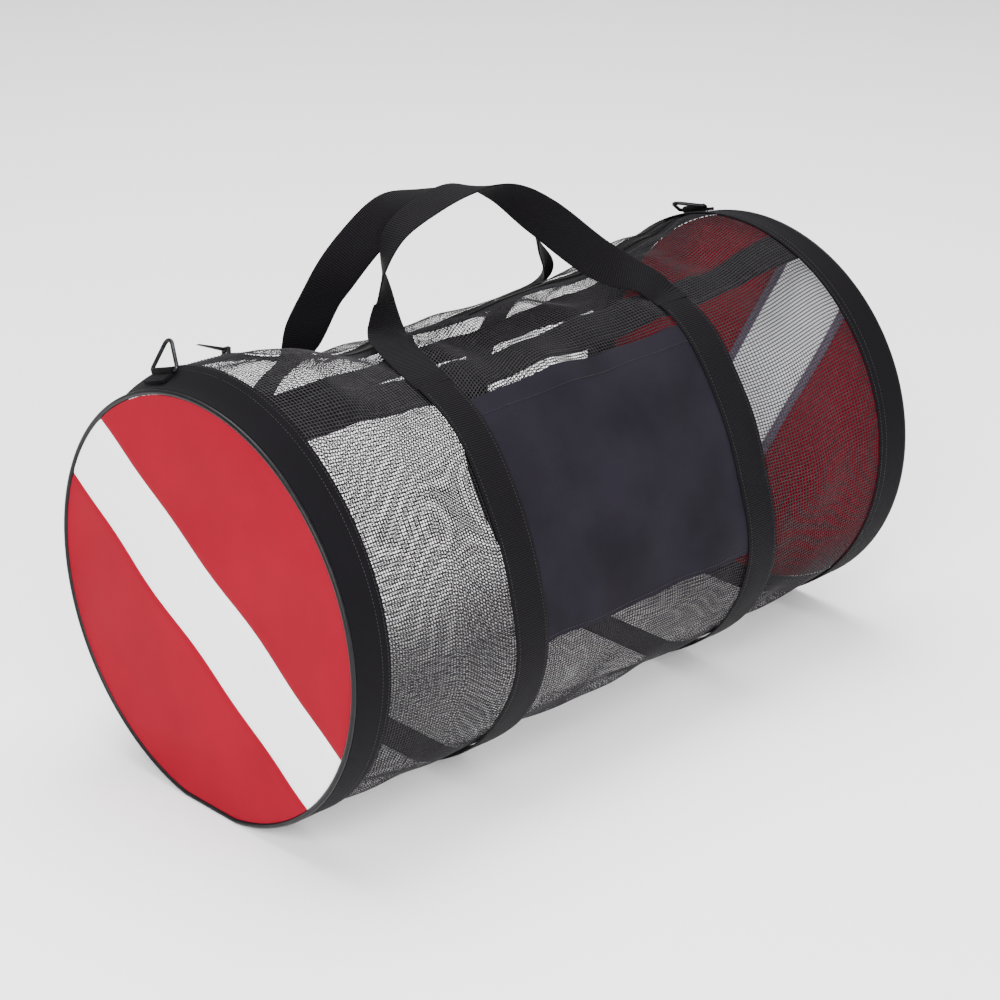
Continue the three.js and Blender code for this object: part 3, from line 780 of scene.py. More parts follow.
@dataclass(frozen=True)
class HardFinish(Finish):
    """A moulded or drawn hard surface with fine grain and slightly worn patches."""

    roughness: float
    metallic: float = 0.0
    grain: float = 0.05
    grain_size: float = 0.8
    gloss: float = 0.3
    patch_scale: float = 180.0
    unevenness: float = 0.08

    def shade(self, tree: Tree, shader: Node, place: Node) -> None:
        """Builds the hard surface, as Finish.shade says.

        Args:
            tree: the material's tree.
            shader: its principled shader.
            place: the node with the object's coordinates.
        """
        at = place.outputs["Object"]
        noise = {"Vector": at, "Scale": self.patch_scale, "Detail": 3.0}
        patches = add_node(tree, "ShaderNodeTexNoise", noise)
        share = add_node(tree, "ShaderNodeMapRange", {0: patches, 1: 0.45, 2: 0.75})
        worn = {0: share, 6: linear(self.colour), 7: linear(self.second)}
        dull = {
            0: patches, 3: self.roughness - self.unevenness, 4: self.roughness + self.unevenness
        }
        fine = {"Vector": at, "Scale": 1 / (self.grain_size * MM), "Detail": 2.0}
        grain = add_node(tree, "ShaderNodeTexNoise", fine)
        relief = {"Height": grain, "Distance": self.grain * MM, "Strength": 0.6}
        feed(tree, shader, {
            "Base Color": add_node(tree, "ShaderNodeMix", worn, data_type="RGBA").outputs[2],
            "Normal": add_node(tree, "ShaderNodeBump", relief),
            "Roughness": add_node(tree, "ShaderNodeMapRange", dull),
            "Metallic": self.metallic,
            "Specular IOR Level": self.gloss,
        })


# Yarn of the knitted mesh: spun-dyed black polyester, matt, which goes dark brown where light
# comes through it
MESH_YARN = HardFinish(
    "knitted_polyester_yarn", "1c1a1d", "2a282b", 0.55, grain=0.02, grain_size=0.5, gloss=0.2
)
# The second colour of each cloth below is painted shade in the gaps between its threads, and the
# colour of its darker patches
# 600 denier nylon of the end bands, a plain weave that shows as a fine tooth on black. Its
# threads are 0.5 mm apart and are drawn at 1.5 mm so that they show
BAND_NYLON = ClothFinish("plain_nylon_600d", "0e0c10", "080709", Weave.PLAIN, 1.5, 0.16, gloss=0.04)
# Pocket cloth: lighter, closer nylon with a bluish cast and faint light and dark patches, drawn as
# coarse as the bands' for the same reason
POCKET_NYLON = ClothFinish(
    "light_pocket_nylon", "1b1820", "0e0c11", Weave.PLAIN, 1.3, 0.10, gloss=0.06, mottle=0.35
)
# Nylon webbing, black and matt with shadows between its ribs, which are about 1.2 mm apart and
# are drawn at 2.1 mm so that they show
WEBBING = ClothFinish(
    "ribbed_nylon_webbing", "100e12", "040304", Weave.RIBBED, 2.1, 0.5, roughness=0.66, gloss=0.05
)
# Zip tape: flat woven polyester with low ribs, which looks smoother than the webbing
ZIP_TAPE = ClothFinish(
    "woven_zip_tape", "0f0e10", "080708", Weave.FINE_RIBBED, 1.6, 0.15, gloss=0.05
)
# Coated nylon of the end panels, dyed through, with a smooth hand and a low weave: flat strong red,
# clean white, and the stripe's white seam allowance inside the bag, darkened to greyish purple by
# painted shade
RED_CLOTH = ClothFinish(
    "red_coated_nylon", "84001c", "720016", Weave.PLAIN, 1.6, 0.07, roughness=0.6, mottle=0.2,
    gloss=0.04,
)
WHITE_CLOTH = ClothFinish(
    "white_coated_nylon", "fafafd", "eeeef4", Weave.PLAIN, 1.6, 0.06, roughness=0.6
)
FLANGE_CLOTH_PAINTED_SHADE = ClothFinish("seam_allowance_nylon", "6f6577", "5a5163", Weave.PLAIN, 1.6, 0.08)
# Bonded polyester sewing thread, a glossy twist that catches small lights along a seam
BLACK_THREAD = HardFinish(
    "black_sewing_thread", "121114", "242226", 0.45, grain=0.03, grain_size=0.4
)
RED_THREAD = HardFinish(
    "dark_red_sewing_thread", "6d0a1a", "84102a", 0.5, grain=0.03, grain_size=0.4
)
# Extruded vinyl piping: smooth, with soft highlights
PIPING_VINYL = HardFinish(
    "extruded_vinyl_piping", "0c0c0e", "141416", 0.4, grain=0.03, grain_size=2.5, gloss=0.15
)
# Bent steel wire with a black oxide finish, dark with sharp grey lights
RING_STEEL = HardFinish(
    "black_oxide_steel_wire", "1c1c1e", "3a3a3e", 0.32, metallic=0.85, grain=0.02, gloss=0.5
)
# Moulded acetal of the zip's teeth, slider and puller: plain black with a dull shine
ZIP_PLASTIC = HardFinish("moulded_acetal", "0d0d0e", "171719", 0.45, grain=0.03, gloss=0.2)


def dress(obj: Object, finish: Finish) -> Object:
    """Gives a piece its one finish.

    Args:
        obj: the piece.
        finish: its finish.

    Returns:
        The piece.
    """
    obj.data.materials.clear()
    obj.data.materials.append(finish.material())
    return obj


# Cloth on the surface. Across a strap or tape its wall thins to a rounded edge: shares of the
# width, and the wall there

EDGE_SHARES = np.array([0.0, 0.018, 0.06, 0.25, 0.5, 0.75, 0.94, 0.982, 1.0])
EDGE_WALLS = np.array([0.35, 0.8, 1.0, 1.0, 1.0, 1.0, 1.0, 0.8, 0.35])
STITCH_LIFT = 0.1
STITCH_INSET = 3.5  # from the edge of a webbing
STITCH_SHARE = 0.82  # of a stitch's pitch that shows as thread
STITCH_WIDTH = 0.7
STITCH_HEIGHT = 0.5


def sheet(
    name: str, xs: Array, angles: Array, lift: float, wall: Array, uv: Array | None = None,
    wraps: bool = False,
) -> Object:
    """A sheet that lies on the bag's surface.

    Args:
        name: the object's name.
        xs: places along the bag, by row.
        angles: places round it, by column or by row and column.
        lift: from the mesh to the sheet's underside where it is thickest.
        wall: the sheet's thickness, for rows, columns or all of it.
        uv: places on the flat cloth, unless they are along the bag and round it.
        wraps: whether it goes right round, in which case the last column is left out.

    Returns:
        The new object.
    """
    middle = lift + np.max(wall) / 2
    drawn = angles[:, :-1] if wraps else angles
    outer = SURFACE.point(xs, drawn, middle + wall / 2)
    inner = SURFACE.point(xs, drawn, middle - wall / 2)
    uv = together(xs, SURFACE.girth_of(angles)) if uv is None else uv
    return slab(name, outer, inner, uv, wraps)


def seam_line(xs: Array, angles: Array, lift: Array) -> Line:
    """A line on the surface and the directions out of it.

    Args:
        xs: places along the bag.
        angles: places round it.
        lift: height over the mesh.

    Returns:
        The points and the outward directions, which are square to the bag's axis where the
        floor has flattened the surface.
    """
    xs, angles = np.broadcast_arrays(np.asarray(xs, float), np.asarray(angles, float))
    points = SURFACE.point(xs, angles, lift)
    outward = SURFACE.point(xs, angles, lift + 1) - points
    around = together(0.0 * xs, np.sin(np.radians(angles)), np.cos(np.radians(angles)))
    length = np.linalg.norm(outward, axis=-1, keepdims=True)
    return points, np.where(length > 0.1, outward / np.maximum(length, 0.1), around)


def stitch(
    name: str, rows: Sequence[Line], slot: str, thread: HardFinish = BLACK_THREAD,
    pitch: float = 3.2,
) -> None:
    """Rows of stitches along lines on the cloth.

    Args:
        name: the object's name.
        rows: the line of each row.
        slot: the material slot of the cloth that they hold.
        thread: the thread's finish.
        pitch: distance between two stitches.
    """
    size = (pitch * STITCH_SHARE, STITCH_WIDTH, STITCH_HEIGHT)
    settle(lay(name, rows, Repeat.STITCH, pitch, size, thread.material()), BAG, slot)


@dataclass
class MeshBody:
    """The tube of knitted mesh: threads round the bag and threads along it. The real threads
    are about 2 mm apart and are drawn coarser so that they show."""

    pitch: float = 3.2
    thread: float = 0.98
    thread_wall: float = 0.3
    under: float = 0.15
    slot_width: float = 30.0
    ring_points: int = 112
    length_points: int = 52

    def angles(self, x: Array, shares: Array) -> Array:
        """Places round the bag between the two edges of the zip's slot.

        Args:
            x: places along the bag.
            shares: shares of the way round.

        Returns:
            The places in degrees.
        """
        edge = SURFACE.degrees_of(self.slot_width / 2)
        return SURFACE.zip_angle(x) + edge + shares * (360 - 2 * edge)

    def threads(self, name: str, lines: Sequence[Line]) -> None:
        """Lays flat threads along lines and settles them.

        Args:
            name: the object's name.
            lines: the line of each thread.
        """
        size = (self.thread, self.thread, self.thread_wall)
        obj = lay(name, lines, Repeat.THREAD, self.pitch, size, MESH_YARN.material())
        settle(obj, BAG, "mesh", "mesh_body")

    def build(self) -> None:
        """Builds the two sets of threads."""
        lift = -self.thread_wall
        ends = (-SURFACE.mesh_end, SURFACE.mesh_end)
        shares = np.linspace(0, 1, self.ring_points)
        self.threads("mesh_threads_round", [
            seam_line(x, self.angles(x, shares), lift)
            for x in np.linspace(*ends, int(2 * SURFACE.mesh_end / self.pitch))
        ])
        girth = math.tau * SURFACE.mesh_radius - self.slot_width
        xs = np.linspace(*ends, self.length_points)
        self.threads("mesh_threads_along", [
            seam_line(xs, self.angles(xs, share), lift - self.under)
            for share in np.linspace(0, 1, int(girth / self.pitch))
        ])


class Side(Enum):
    """An end of the bag, by the sign of its X."""

    LEFT = -1
    RIGHT = 1

    @property
    def word(self) -> str:
        """The end's name in the names of its pieces."""
        return self.name.lower()


@dataclass
class EndOfBag:
    """An end: the nylon band, the piping and the panel of two red pieces and a white stripe.
    slope is the stripe's, phase moves the panel's low bulges, and relief is their height."""

    side: Side
    slope: float
    stripe_width: float = 76.0
    seam_allowance: float = 7.0
    panel_wall: float = 1.2
    panel_gap: float = 0.3
    flange_gap: float = 0.4
    seam_groove: float = 0.4
    seam_dip: float = 0.9
    seam_reach: float = 6.0
    seam_stitch: float = 1.2
    band_overlap: float = 0.8
    band_rows: tuple[float, float] = (3.0, 9.5)
    stitch_lift: float = 0.12
    rim_fade: float = 45.0
    relief: float = 1.9
    phase: float = 0.0
    girth_steps: int = 241

    @property
    def edge(self) -> float:
        """Radius of the panel."""
        return SURFACE.radius - SURFACE.piping_diameter - self.panel_gap

    def band(self) -> None:
        """The band over the end of the mesh, with two rows of stitches at its inner edge."""
        sign, word = self.side.value, self.side.word
        outer_end = SURFACE.half - SURFACE.piping_diameter + self.band_overlap
        shares = np.array([0, 0.015, 0.05, 0.2, 0.35, 0.5, 0.65, 0.78, 0.86, 0.92, 0.97, 1])
        xs = np.sort(sign * (outer_end + (SURFACE.band_inner - outer_end) * shares))[:, None]
        walls = SURFACE.band_wall * np.where(np.abs(xs) < SURFACE.band_inner + 0.3, 0.5, 1.0)
        angles = np.linspace(0, 360, self.girth_steps)
        name = f"end_band_cloth_{word}"
        obj = sheet(name, xs, angles[None], SURFACE.cloth_gap, walls, wraps=True)
        settle(dress(obj, BAND_NYLON), BAG, "nylon", f"end_band_{word}")
        lift = SURFACE.rim_lift + self.stitch_lift
        places = [sign * (SURFACE.band_inner + inset) for inset in self.band_rows]
        stitch(f"band_stitches_{word}", [seam_line(x, angles, lift) for x in places], "nylon")

    def piping(self) -> None:
        """The round piping in the seam between the band and the panel."""
        radius = SURFACE.piping_diameter / 2
        turns = np.linspace(0, math.tau, 13)[:-1]
        angles = np.linspace(0, 360, self.girth_steps)[:-1, None]
        x = self.side.value * (SURFACE.half - radius) + radius * np.cos(turns)
        rings = SURFACE.point(x, angles, SURFACE.rim_lift - radius + radius * np.sin(turns))
        obj = dress(tube(f"piping_cord_{self.side.word}", rings), PIPING_VINYL)
        settle(obj, BAG, "piping", f"piping_{self.side.word}")

    def panel(self) -> None:
        """The panel: red above, white stripe, red below, each sewn to the next."""
        word, half = self.side.word, self.stripe_width / 2
        start = half + self.seam_groove
        for part, low, high in (("upper", start, self.edge), ("lower", -self.edge, -start)):
            obj = self.plate(f"panel_cloth_{word}_{part}", low, high, 0.0)
            settle(dress(obj, RED_CLOTH), BAG, "red", f"panel_{word}_{part}")
        obj = self.plate(f"stripe_cloth_{word}", -half, half, 0.0)
        settle(dress(obj, WHITE_CLOTH), BAG, "white", f"panel_{word}_stripe")
        inset = self.panel_wall + self.flange_gap
        depth = inset + self.panel_wall + 0.15
        seams = []
        for part, sign in (("lower", -1), ("upper", 1)):
            low, high = sorted((sign * (half - 1), sign * (half + self.seam_allowance)))
            # The seam allowances are white nylon, darkened to greyish purple by painted shade
            obj = self.plate(f"seam_flange_{word}_{part}", low, high, inset)
            settle(dress(obj, FLANGE_CLOTH_PAINTED_SHADE), BAG, "white")
            for at in (self.seam_stitch, self.seam_allowance - self.seam_stitch):
                seams.append(self.seam(sign * (half + at), depth))
        stitch(f"flange_stitches_{word}", seams, "red", RED_THREAD, 3.6)

    def place(self, along: Array, up: Array, inset: float) -> Array:
        """Points of the panel.

        Args:
            along: places along the stripe.
            up: places square to it.
            inset: how far behind the panel's outside.

        Returns:
            The points in millimetres, bulging a little and dipping at the stripe's two seams.
        """
        slope = math.radians(self.slope)
        lift = 1 if math.cos(slope) > 0 else -1
        y = along * math.cos(slope) - lift * up * math.sin(slope)
        z = along * math.sin(slope) + lift * up * math.cos(slope)
        fade = np.clip((self.edge - np.hypot(y, z)) / self.rim_fade, 0, 1)
        # Slack cloth bulges in low waves of 240 to 380 mm
        bulge = np.sin(y / 47 + self.phase) * np.cos(z / 61 - self.phase)
        bulge = bulge + 0.5 * np.sin((y + 2 * z) / 38)
        away = np.minimum(np.abs(np.abs(up) - self.stripe_width / 2), self.seam_reach)
        dip = self.seam_dip * (1 - away / self.seam_reach) ** 2
        outside = SURFACE.half - SURFACE.piping_diameter / 2 + self.panel_wall / 2
        x = outside - inset - dip + self.relief * fade * bulge
        floor = SURFACE.rim_lift - SURFACE.cloth_gap + SURFACE.piping_diameter - SURFACE.band_wall
        return together(self.side.value * x, y, np.maximum(z + SURFACE.centre_z, floor))

    def plate(self, name: str, low: float, high: float, inset: float) -> Object:
        """A piece of the panel between two lines along the stripe.

        Args:
            name: the object's name.
            low: the lower line's distance from the stripe's middle.
            high: the upper line's.
            inset: how far it lies behind the panel's outside.

        Returns:
            The new object.
        """
        rows = max(9, int((high - low) / 4))
        near = np.array([0, 0.4, 1.2, 2.5, 4.5])
        ups = np.unique(np.concatenate([low + near, np.linspace(low, high, rows), high - near]))
        ups = ups[(ups >= low) & (ups <= high)][:, None]
        reach = np.sqrt(np.maximum(self.edge**2 - ups**2, 0.25))
        along = reach * np.sin(np.linspace(-math.pi / 2, math.pi / 2, 57))[None, :]
        outer = self.place(along, ups, inset)
        inner = self.place(along, ups, inset + self.panel_wall)
        return slab(name, outer, inner, together(along, ups))

    def seam(self, up: float, inset: float, steps: int = 60) -> Line:
        """A line along the stripe on the panel's inside.

        Args:
            up: distance from the stripe's middle.
            inset: how far behind the panel's outside.
            steps: points on the line.

        Returns:
            The points, and the direction into the bag.
        """
        reach = math.sqrt((SURFACE.radius - SURFACE.piping_diameter - 2) ** 2 - up**2)
        points = self.place(np.linspace(-reach, reach, steps), np.full(steps, up), inset)
        return points, np.tile([-float(self.side.value), 0.0, 0.0], (steps, 1))

    def build(self) -> None:
        """Builds the band, the piping and the panel."""
        self.band()
        self.piping()
        self.panel()


@dataclass
class Webbing:
    """The girth straps outside and the two lengths of webbing inside, whose two angles are
    those of their left and right end."""

    end_back: float = 52.5
    end_front: float = 337.5
    inner_front: tuple[float, float] = (-23.0, -18.5)
    inner_back: tuple[float, float] = (66.0, 66.0)

    def girth_strap(self, side: Side) -> None:
        """A strap sewn round the body, from one handle's foot to the other's.

        Args:
            side: the end that it is nearer to.
        """
        width = SURFACE.webbing_width
        middle = side.value * SURFACE.strap_x
        xs = (middle - width / 2 + width * EDGE_SHARES)[:, None]
        walls = (EDGE_WALLS * SURFACE.webbing_wall)[:, None]
        angles = np.linspace(self.end_back, self.end_front, 190)
        obj = sheet(f"girth_webbing_{side.word}", xs, angles[None], SURFACE.strap_lift, walls)
        settle(dress(obj, WEBBING), BAG, "webbing", f"girth_strap_{side.word}")
        lift = SURFACE.strap_lift + SURFACE.webbing_wall + STITCH_LIFT
        inset = width / 2 - STITCH_INSET
        rows = [seam_line(middle + at, angles[2:-2], lift) for at in (-inset, inset)]
        stitch(f"girth_stitches_{side.word}", rows, "webbing")

    def inner_strap(self, name: str, ends: tuple[float, float]) -> None:
        """A length of webbing along the inside of the mesh.

        Args:
            name: the solid that it stands for.
            ends: its place round the bag at its left and right end.
        """
        width = SURFACE.webbing_width
        half = SURFACE.degrees_of(width / 2)
        xs = np.linspace(-SURFACE.mesh_end, SURFACE.mesh_end, 90)
        middle = np.linspace(*ends, len(xs))
        angles = middle[:, None] + half * (2 * EDGE_SHARES - 1)
        lift = -SURFACE.mesh_wall - SURFACE.cloth_gap - SURFACE.webbing_wall
        walls = (EDGE_WALLS * SURFACE.webbing_wall)[None]
        uv = together((EDGE_SHARES * width)[None], xs[:, None])
        obj = sheet(f"{name}_cloth", xs[:, None], angles, lift, walls, uv)
        settle(dress(obj, WEBBING), BAG, "webbing", name)
        inset = half - SURFACE.degrees_of(STITCH_INSET)
        rows = [seam_line(xs, middle + at, -0.2) for at in (-inset, inset)]
        stitch(f"{name}_stitches", rows, "webbing")

    def build(self) -> None:
        """Builds the four straps."""
        for side in Side:
            self.girth_strap(side)
        self.inner_strap("inner_webbing_front", self.inner_front)
        self.inner_strap("inner_webbing_back", self.inner_back)


@dataclass
class Pocket:
    """The plain nylon pocket at the front, hemmed at its mouth, which stands a little open
    between the straps. hem_wall is the hem's thickness in walls."""

    top: float = -30.5
    bottom: float = -102.0
    tuck: float = 10.0
    hem: float = 20.0
    hem_wall: float = 1.5
    mouth_gap: float = 2.5
    mouth_fade: float = 70.0
    mouth_depth: float = 26.0

    def stands(self, xs: Array, angles: Array) -> Array:
        """How far the pocket stands off the mesh.

        Args:
            xs: places along the bag.
            angles: places round it.

        Returns:
            The distance in millimetres.
        """
        reach = SURFACE.strap_x - SURFACE.webbing_width / 2
        inside = np.clip((reach - np.abs(xs)) / self.mouth_fade, 0, 1)
        near_top = np.clip(1 - (self.top - angles) / self.mouth_depth, 0, 1)
        return self.mouth_gap * inside * (2 - inside) * near_top**2

    def build(self) -> None:
        """Builds the pocket's cloth, its hem and its stitches."""
        reach = SURFACE.strap_x - SURFACE.webbing_width / 2 + self.tuck
        xs = np.linspace(-reach, reach, 60)[:, None]
        angles = np.concatenate([
            np.linspace(self.bottom, self.top - 8, 30),
            np.linspace(self.top - 7.5, self.top, 18),
        ])[None]
        hem_start = self.top - SURFACE.degrees_of(self.hem)
        folded = np.clip((angles - hem_start) / 0.4, 0, 1) * (self.hem_wall - 1)
        lift = SURFACE.cloth_gap + self.stands(xs, angles)
        outer = SURFACE.point(xs, angles, lift + SURFACE.pocket_wall * (1 + folded))
        inner = SURFACE.point(xs, angles, lift)
        obj = slab("pocket_cloth", outer, inner, together(xs, SURFACE.girth_of(angles)))
        settle(dress(obj, POCKET_NYLON), BAG, "pocket", "pocket_panel")
        reach -= self.tuck + 1
        span = np.linspace(-reach, reach, 80)
        low = SURFACE.cloth_gap + SURFACE.pocket_wall + 0.15
        high = low + self.stands(span, hem_start) + SURFACE.pocket_wall * (self.hem_wall - 1)
        stitch("pocket_stitches", [
            seam_line(span, hem_start + SURFACE.degrees_of(2), high),
            seam_line(span, self.bottom + SURFACE.degrees_of(4), low),
        ], "pocket")


# The handles

class Bend(NamedTuple):
    """A point of a handle. x is a share of half the strap spacing, y of the radius and z of the
    rise over the bands' top; ax, ay, az is the direction across the webbing there."""

    x: float
    y: float
    z: float
    ax: float
    ay: float
    az: float


HANDLE_FRONT = (
    Bend(-0.90, -0.02, -0.09, 1.0, 0.1, 0.0),
    Bend(-0.76, 0.14, -0.08, 0.98, 0.2, 0.0),
    Bend(-0.70, 0.21, 0.08, 0.92, 0.4, 0.1),
    Bend(-0.70, 0.22, 0.36, 0.66, 0.75, 0.08),
    Bend(-0.61, 0.22, 0.64, 0.3, 0.95, 0.0),
    Bend(-0.38, 0.20, 0.82, 0.0, 1.0, 0.0),
    Bend(-0.08, 0.18, 0.90, -0.1, 1.0, -0.05),
    Bend(0.18, 0.14, 0.80, -0.12, 0.85, -0.5),
    Bend(0.42, 0.07, 0.54, -0.5, 0.5, -0.68),
    Bend(0.70, -0.10, 0.14, -0.82, 0.12, -0.48),
    Bend(0.92, -0.23, -0.05, -1.0, 0.02, 0.05),
)
HANDLE_BACK = (
    Bend(-0.95, 0.62, -0.46, 1.0, -0.1, 0.0),
    Bend(-0.91, 0.57, -0.20, 0.85, -0.5, -0.1),
    Bend(-0.86, 0.47, 0.16, 0.85, -0.5, -0.05),
    Bend(-0.68, 0.42, 0.48, 0.62, -0.7, -0.25),
    Bend(-0.44, 0.40, 0.70, 0.5, -0.7, -0.4),
    Bend(-0.08, 0.40, 0.77, 0.12, -0.85, 0.05),
    Bend(0.44, 0.42, 0.62, -0.25, -0.85, 0.2),
    Bend(0.78, 0.42, 0.32, -0.5, -0.75, -0.1),
    Bend(0.86, 0.44, 0.02, -0.64, -0.68, 0.1),
    Bend(1.00, 0.50, -0.29, -0.78, -0.6, 0.05),
    Bend(1.05, 0.60, -0.49, -1.0, -0.1, 0.0),
)


def through(points: Array, steps: int, power: float) -> tuple[Array, Array]:
    """A Catmull-Rom curve through points.

    Args:
        points: the points.
        steps: steps between two of them.
        power: 0 for even knots, 0.25 for knots spaced by the root of the distance.

    Returns:
        The points on the curve and its tangents.
    """
    ends = [2 * points[0] - points[1]], [2 * points[-1] - points[-2]]
    padded = np.concatenate([ends[0], points, ends[1]])
    places, tangents = [], []
    for k in range(len(points) - 1):
        p = padded[k:k + 4]
        step = np.diff(p, axis=0)
        gaps = [max(float(np.sum(s**2)) ** power, 1e-4) for s in step]
        first, last = (
            gaps[1] * (
                step[i] / gaps[i] + step[i + 1] / gaps[i + 1]
                - (step[i] + step[i + 1]) / (gaps[i] + gaps[i + 1])
            )
            for i in (0, 1)
        )
        end = k == len(points) - 2
        t = np.linspace(0, 1, steps + 1)[: None if end else -1, None]
        a, b = 2 * p[1] - 2 * p[2] + first + last, -3 * p[1] + 3 * p[2] - 2 * first - last
        places.append(((a * t + b) * t + first) * t + p[1])
        tangents.append((3 * a * t + 2 * b) * t + first)
    return np.concatenate(places), np.concatenate(tangents)


@dataclass
class Handle:
    """A carry handle: webbing from strap to strap, standing up and twisting as it goes. lead is
    how many degrees it follows its strap before it leaves it."""

    name: str
    bends: Sequence[Bend]
    start_angle: float
    rise: float = 106.0
    lead: float = 4.0
    foot_gap: float = 0.3
    steps: int = 12

    def path(self) -> tuple[Array, Array, Array]:
        """The handle's line.

        Returns:
            Its points, its tangents and the directions across the webbing.
        """
        turn = math.copysign(1, turn_between(self.start_angle, 0))
        gap, x = SURFACE.degrees_of(self.foot_gap), SURFACE.strap_x
        angles = self.start_angle - turn * np.array([gap, self.lead, self.lead, gap])
        lift = SURFACE.strap_lift + SURFACE.webbing_wall / 2
        feet = SURFACE.point(x * np.array([-1, -1, 1, 1]), angles, lift)
        top = SURFACE.centre_z + SURFACE.radius
        rows = [(b.x * x, b.y * SURFACE.radius, top + b.z * self.rise) for b in self.bends]
        line, tangent = through(np.array([*feet[:2], *rows, *feet[2:]]), self.steps, 0.25)
        left, right = (1.0, 0.0, 0.0), (-1.0, 0.0, 0.0)
        widths = np.array([left, left, *[(b.ax, b.ay, b.az) for b in self.bends], right, right])
        across, _ = through(widths, self.steps, 0.0)
        tangent = unit(tangent)
        across = unit(across - tangent * np.sum(across * tangent, axis=-1, keepdims=True))
        return line, tangent, across

    def build(self) -> None:
        """Builds the webbing."""
        line, tangent, across = self.path()
        normal = np.cross(tangent, across)
        offsets = (EDGE_SHARES - 0.5) * SURFACE.webbing_width
        base = line[:, None] + across[:, None] * offsets[None, :, None]
        out = normal[:, None] * (EDGE_WALLS * SURFACE.webbing_wall / 2)[None, :, None]
        run = np.concatenate([[0], np.cumsum(np.linalg.norm(np.diff(line, axis=0), axis=-1))])
        uv = together(offsets[None], run[:, None])
        obj = slab(f"{self.name}_webbing", base + out, base - out, uv)
        settle(dress(obj, WEBBING), BAG, "webbing", self.name)


# The zip and the shoulder rings

def softened(name: str, node: str, width: float) -> Object:
    """A copy of a hard solid with its edges rounded off.

    Args:
        name: the new object's name.
        node: the solid's node.
        width: the rounding's width in millimetres.

    Returns:
        The new object.
    """
    mesh = frame["nodes"][node].data.copy()
    shape = bmesh.new()
    shape.from_mesh(mesh)
    bmesh.ops.remove_doubles(shape, verts=shape.verts, dist=0.01 * MM)
    flat = math.radians(2)
    bmesh.ops.dissolve_limit(shape, angle_limit=flat, verts=shape.verts, edges=shape.edges)
    shape.to_mesh(mesh)
    shape.free()
    obj = new_object(name, mesh)
    bevel = obj.modifiers.new("bevel", "BEVEL")
    bevel.width = width * MM
    bevel.segments = 2
    bevel.limit_method = "ANGLE"
    bevel.angle_limit = math.radians(35)
    apply_modifiers(obj)
    face_outwards(obj.data, 50)
    return obj


@dataclass
class Zip:
    """The zip along the top: two tapes, a chain of teeth that is open behind the slider, the
    slider and its puller."""

    tape_wall: float = 0.9
    tape_gap: float = 1.2
    tape_width: float = 18.5
    teeth_width: float = 8.0
    tooth_pitch: float = 2.6
    tooth_length: float = 1.5
    tooth_height: float = 2.8
    closed_offset: float = 1.3
    chain_step: float = 4.0
    slot_width: float = 30.0
    seam_inset: float = 2.5
    rounding: float = 0.35

    @property
    def tape_lift(self) -> float:
        """From the mesh's outside down to the tape's underside."""
        return -SURFACE.mesh_wall - 2 * SURFACE.cloth_gap - self.tape_wall

    def tape(self, word: str, sign: int) -> None:
        """A tape, with a row of stitches where the mesh is sewn to it.

        Args:
            word: front or back, for its names.
            sign: the side of the zip's line, 1 towards the back.
        """
        offsets = np.sort(sign * (self.tape_gap / 2 + self.tape_width * EDGE_SHARES))[None]
        xs = np.linspace(-SURFACE.mesh_end, SURFACE.mesh_end, 120)[:, None]
        angles = SURFACE.zip_angle(xs) + np.degrees(offsets / SURFACE.mesh_radius)
        uv = together(offsets, xs)
        obj = sheet(f"zip_tape_cloth_{word}", xs, angles, self.tape_lift, self.tape_wall, uv)
        settle(dress(obj, ZIP_TAPE), BAG, "tape", f"zip_tape_{word}")
        seam = sign * SURFACE.degrees_of(self.slot_width / 2 + self.seam_inset)
        line = np.linspace(-SURFACE.band_inner, SURFACE.band_inner, 150)
        row = seam_line(line, SURFACE.zip_angle(line) + seam, STITCH_LIFT)
        stitch(f"zip_stitches_{word}", [row], "tape")

    def chain(self) -> None:
        """The closed teeth, each set half a pitch from the one across, and the open ones."""
        low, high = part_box("zip_teeth")
        lift = self.tape_lift + self.tape_wall / 2
        closed = (low.x / MM, high.x / MM, self.closed_offset)
        opened = (-SURFACE.band_inner - 8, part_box("zip_slider")[0].x / MM, self.teeth_width / 2)
        lines = []
        for sign in (-1, 1):
            for left, right, offset in (closed, opened):
                shift = self.tooth_pitch / 2 if sign > 0 else 0
                xs = np.linspace(left + shift, right, int((right - left) / self.chain_step))
                angles = SURFACE.zip_angle(xs) + sign * SURFACE.degrees_of(offset)
                lines.append(seam_line(xs, angles, lift))
        size = (self.tooth_length, self.teeth_width - 2 * self.closed_offset, self.tooth_height)
        plastic = ZIP_PLASTIC.material()
        obj = lay("zip_teeth_closed", lines, Repeat.TOOTH, self.tooth_pitch, size, plastic)
        settle(obj, BAG, "plastic", "zip_teeth")

    def build(self) -> None:
        """Builds the tapes, the chain, the slider and the puller."""
        self.tape("front", -1)
        self.tape("back", 1)
        self.chain()
        obj = dress(softened("zip_slider_body", "zip_slider", self.rounding), ZIP_PLASTIC)
        settle(obj, BAG, "plastic", "zip_slider")
        obj = dress(softened("zip_puller_tab", "zip_puller", self.rounding), ZIP_PLASTIC)
        settle(obj, "puller", "plastic", "zip_puller")


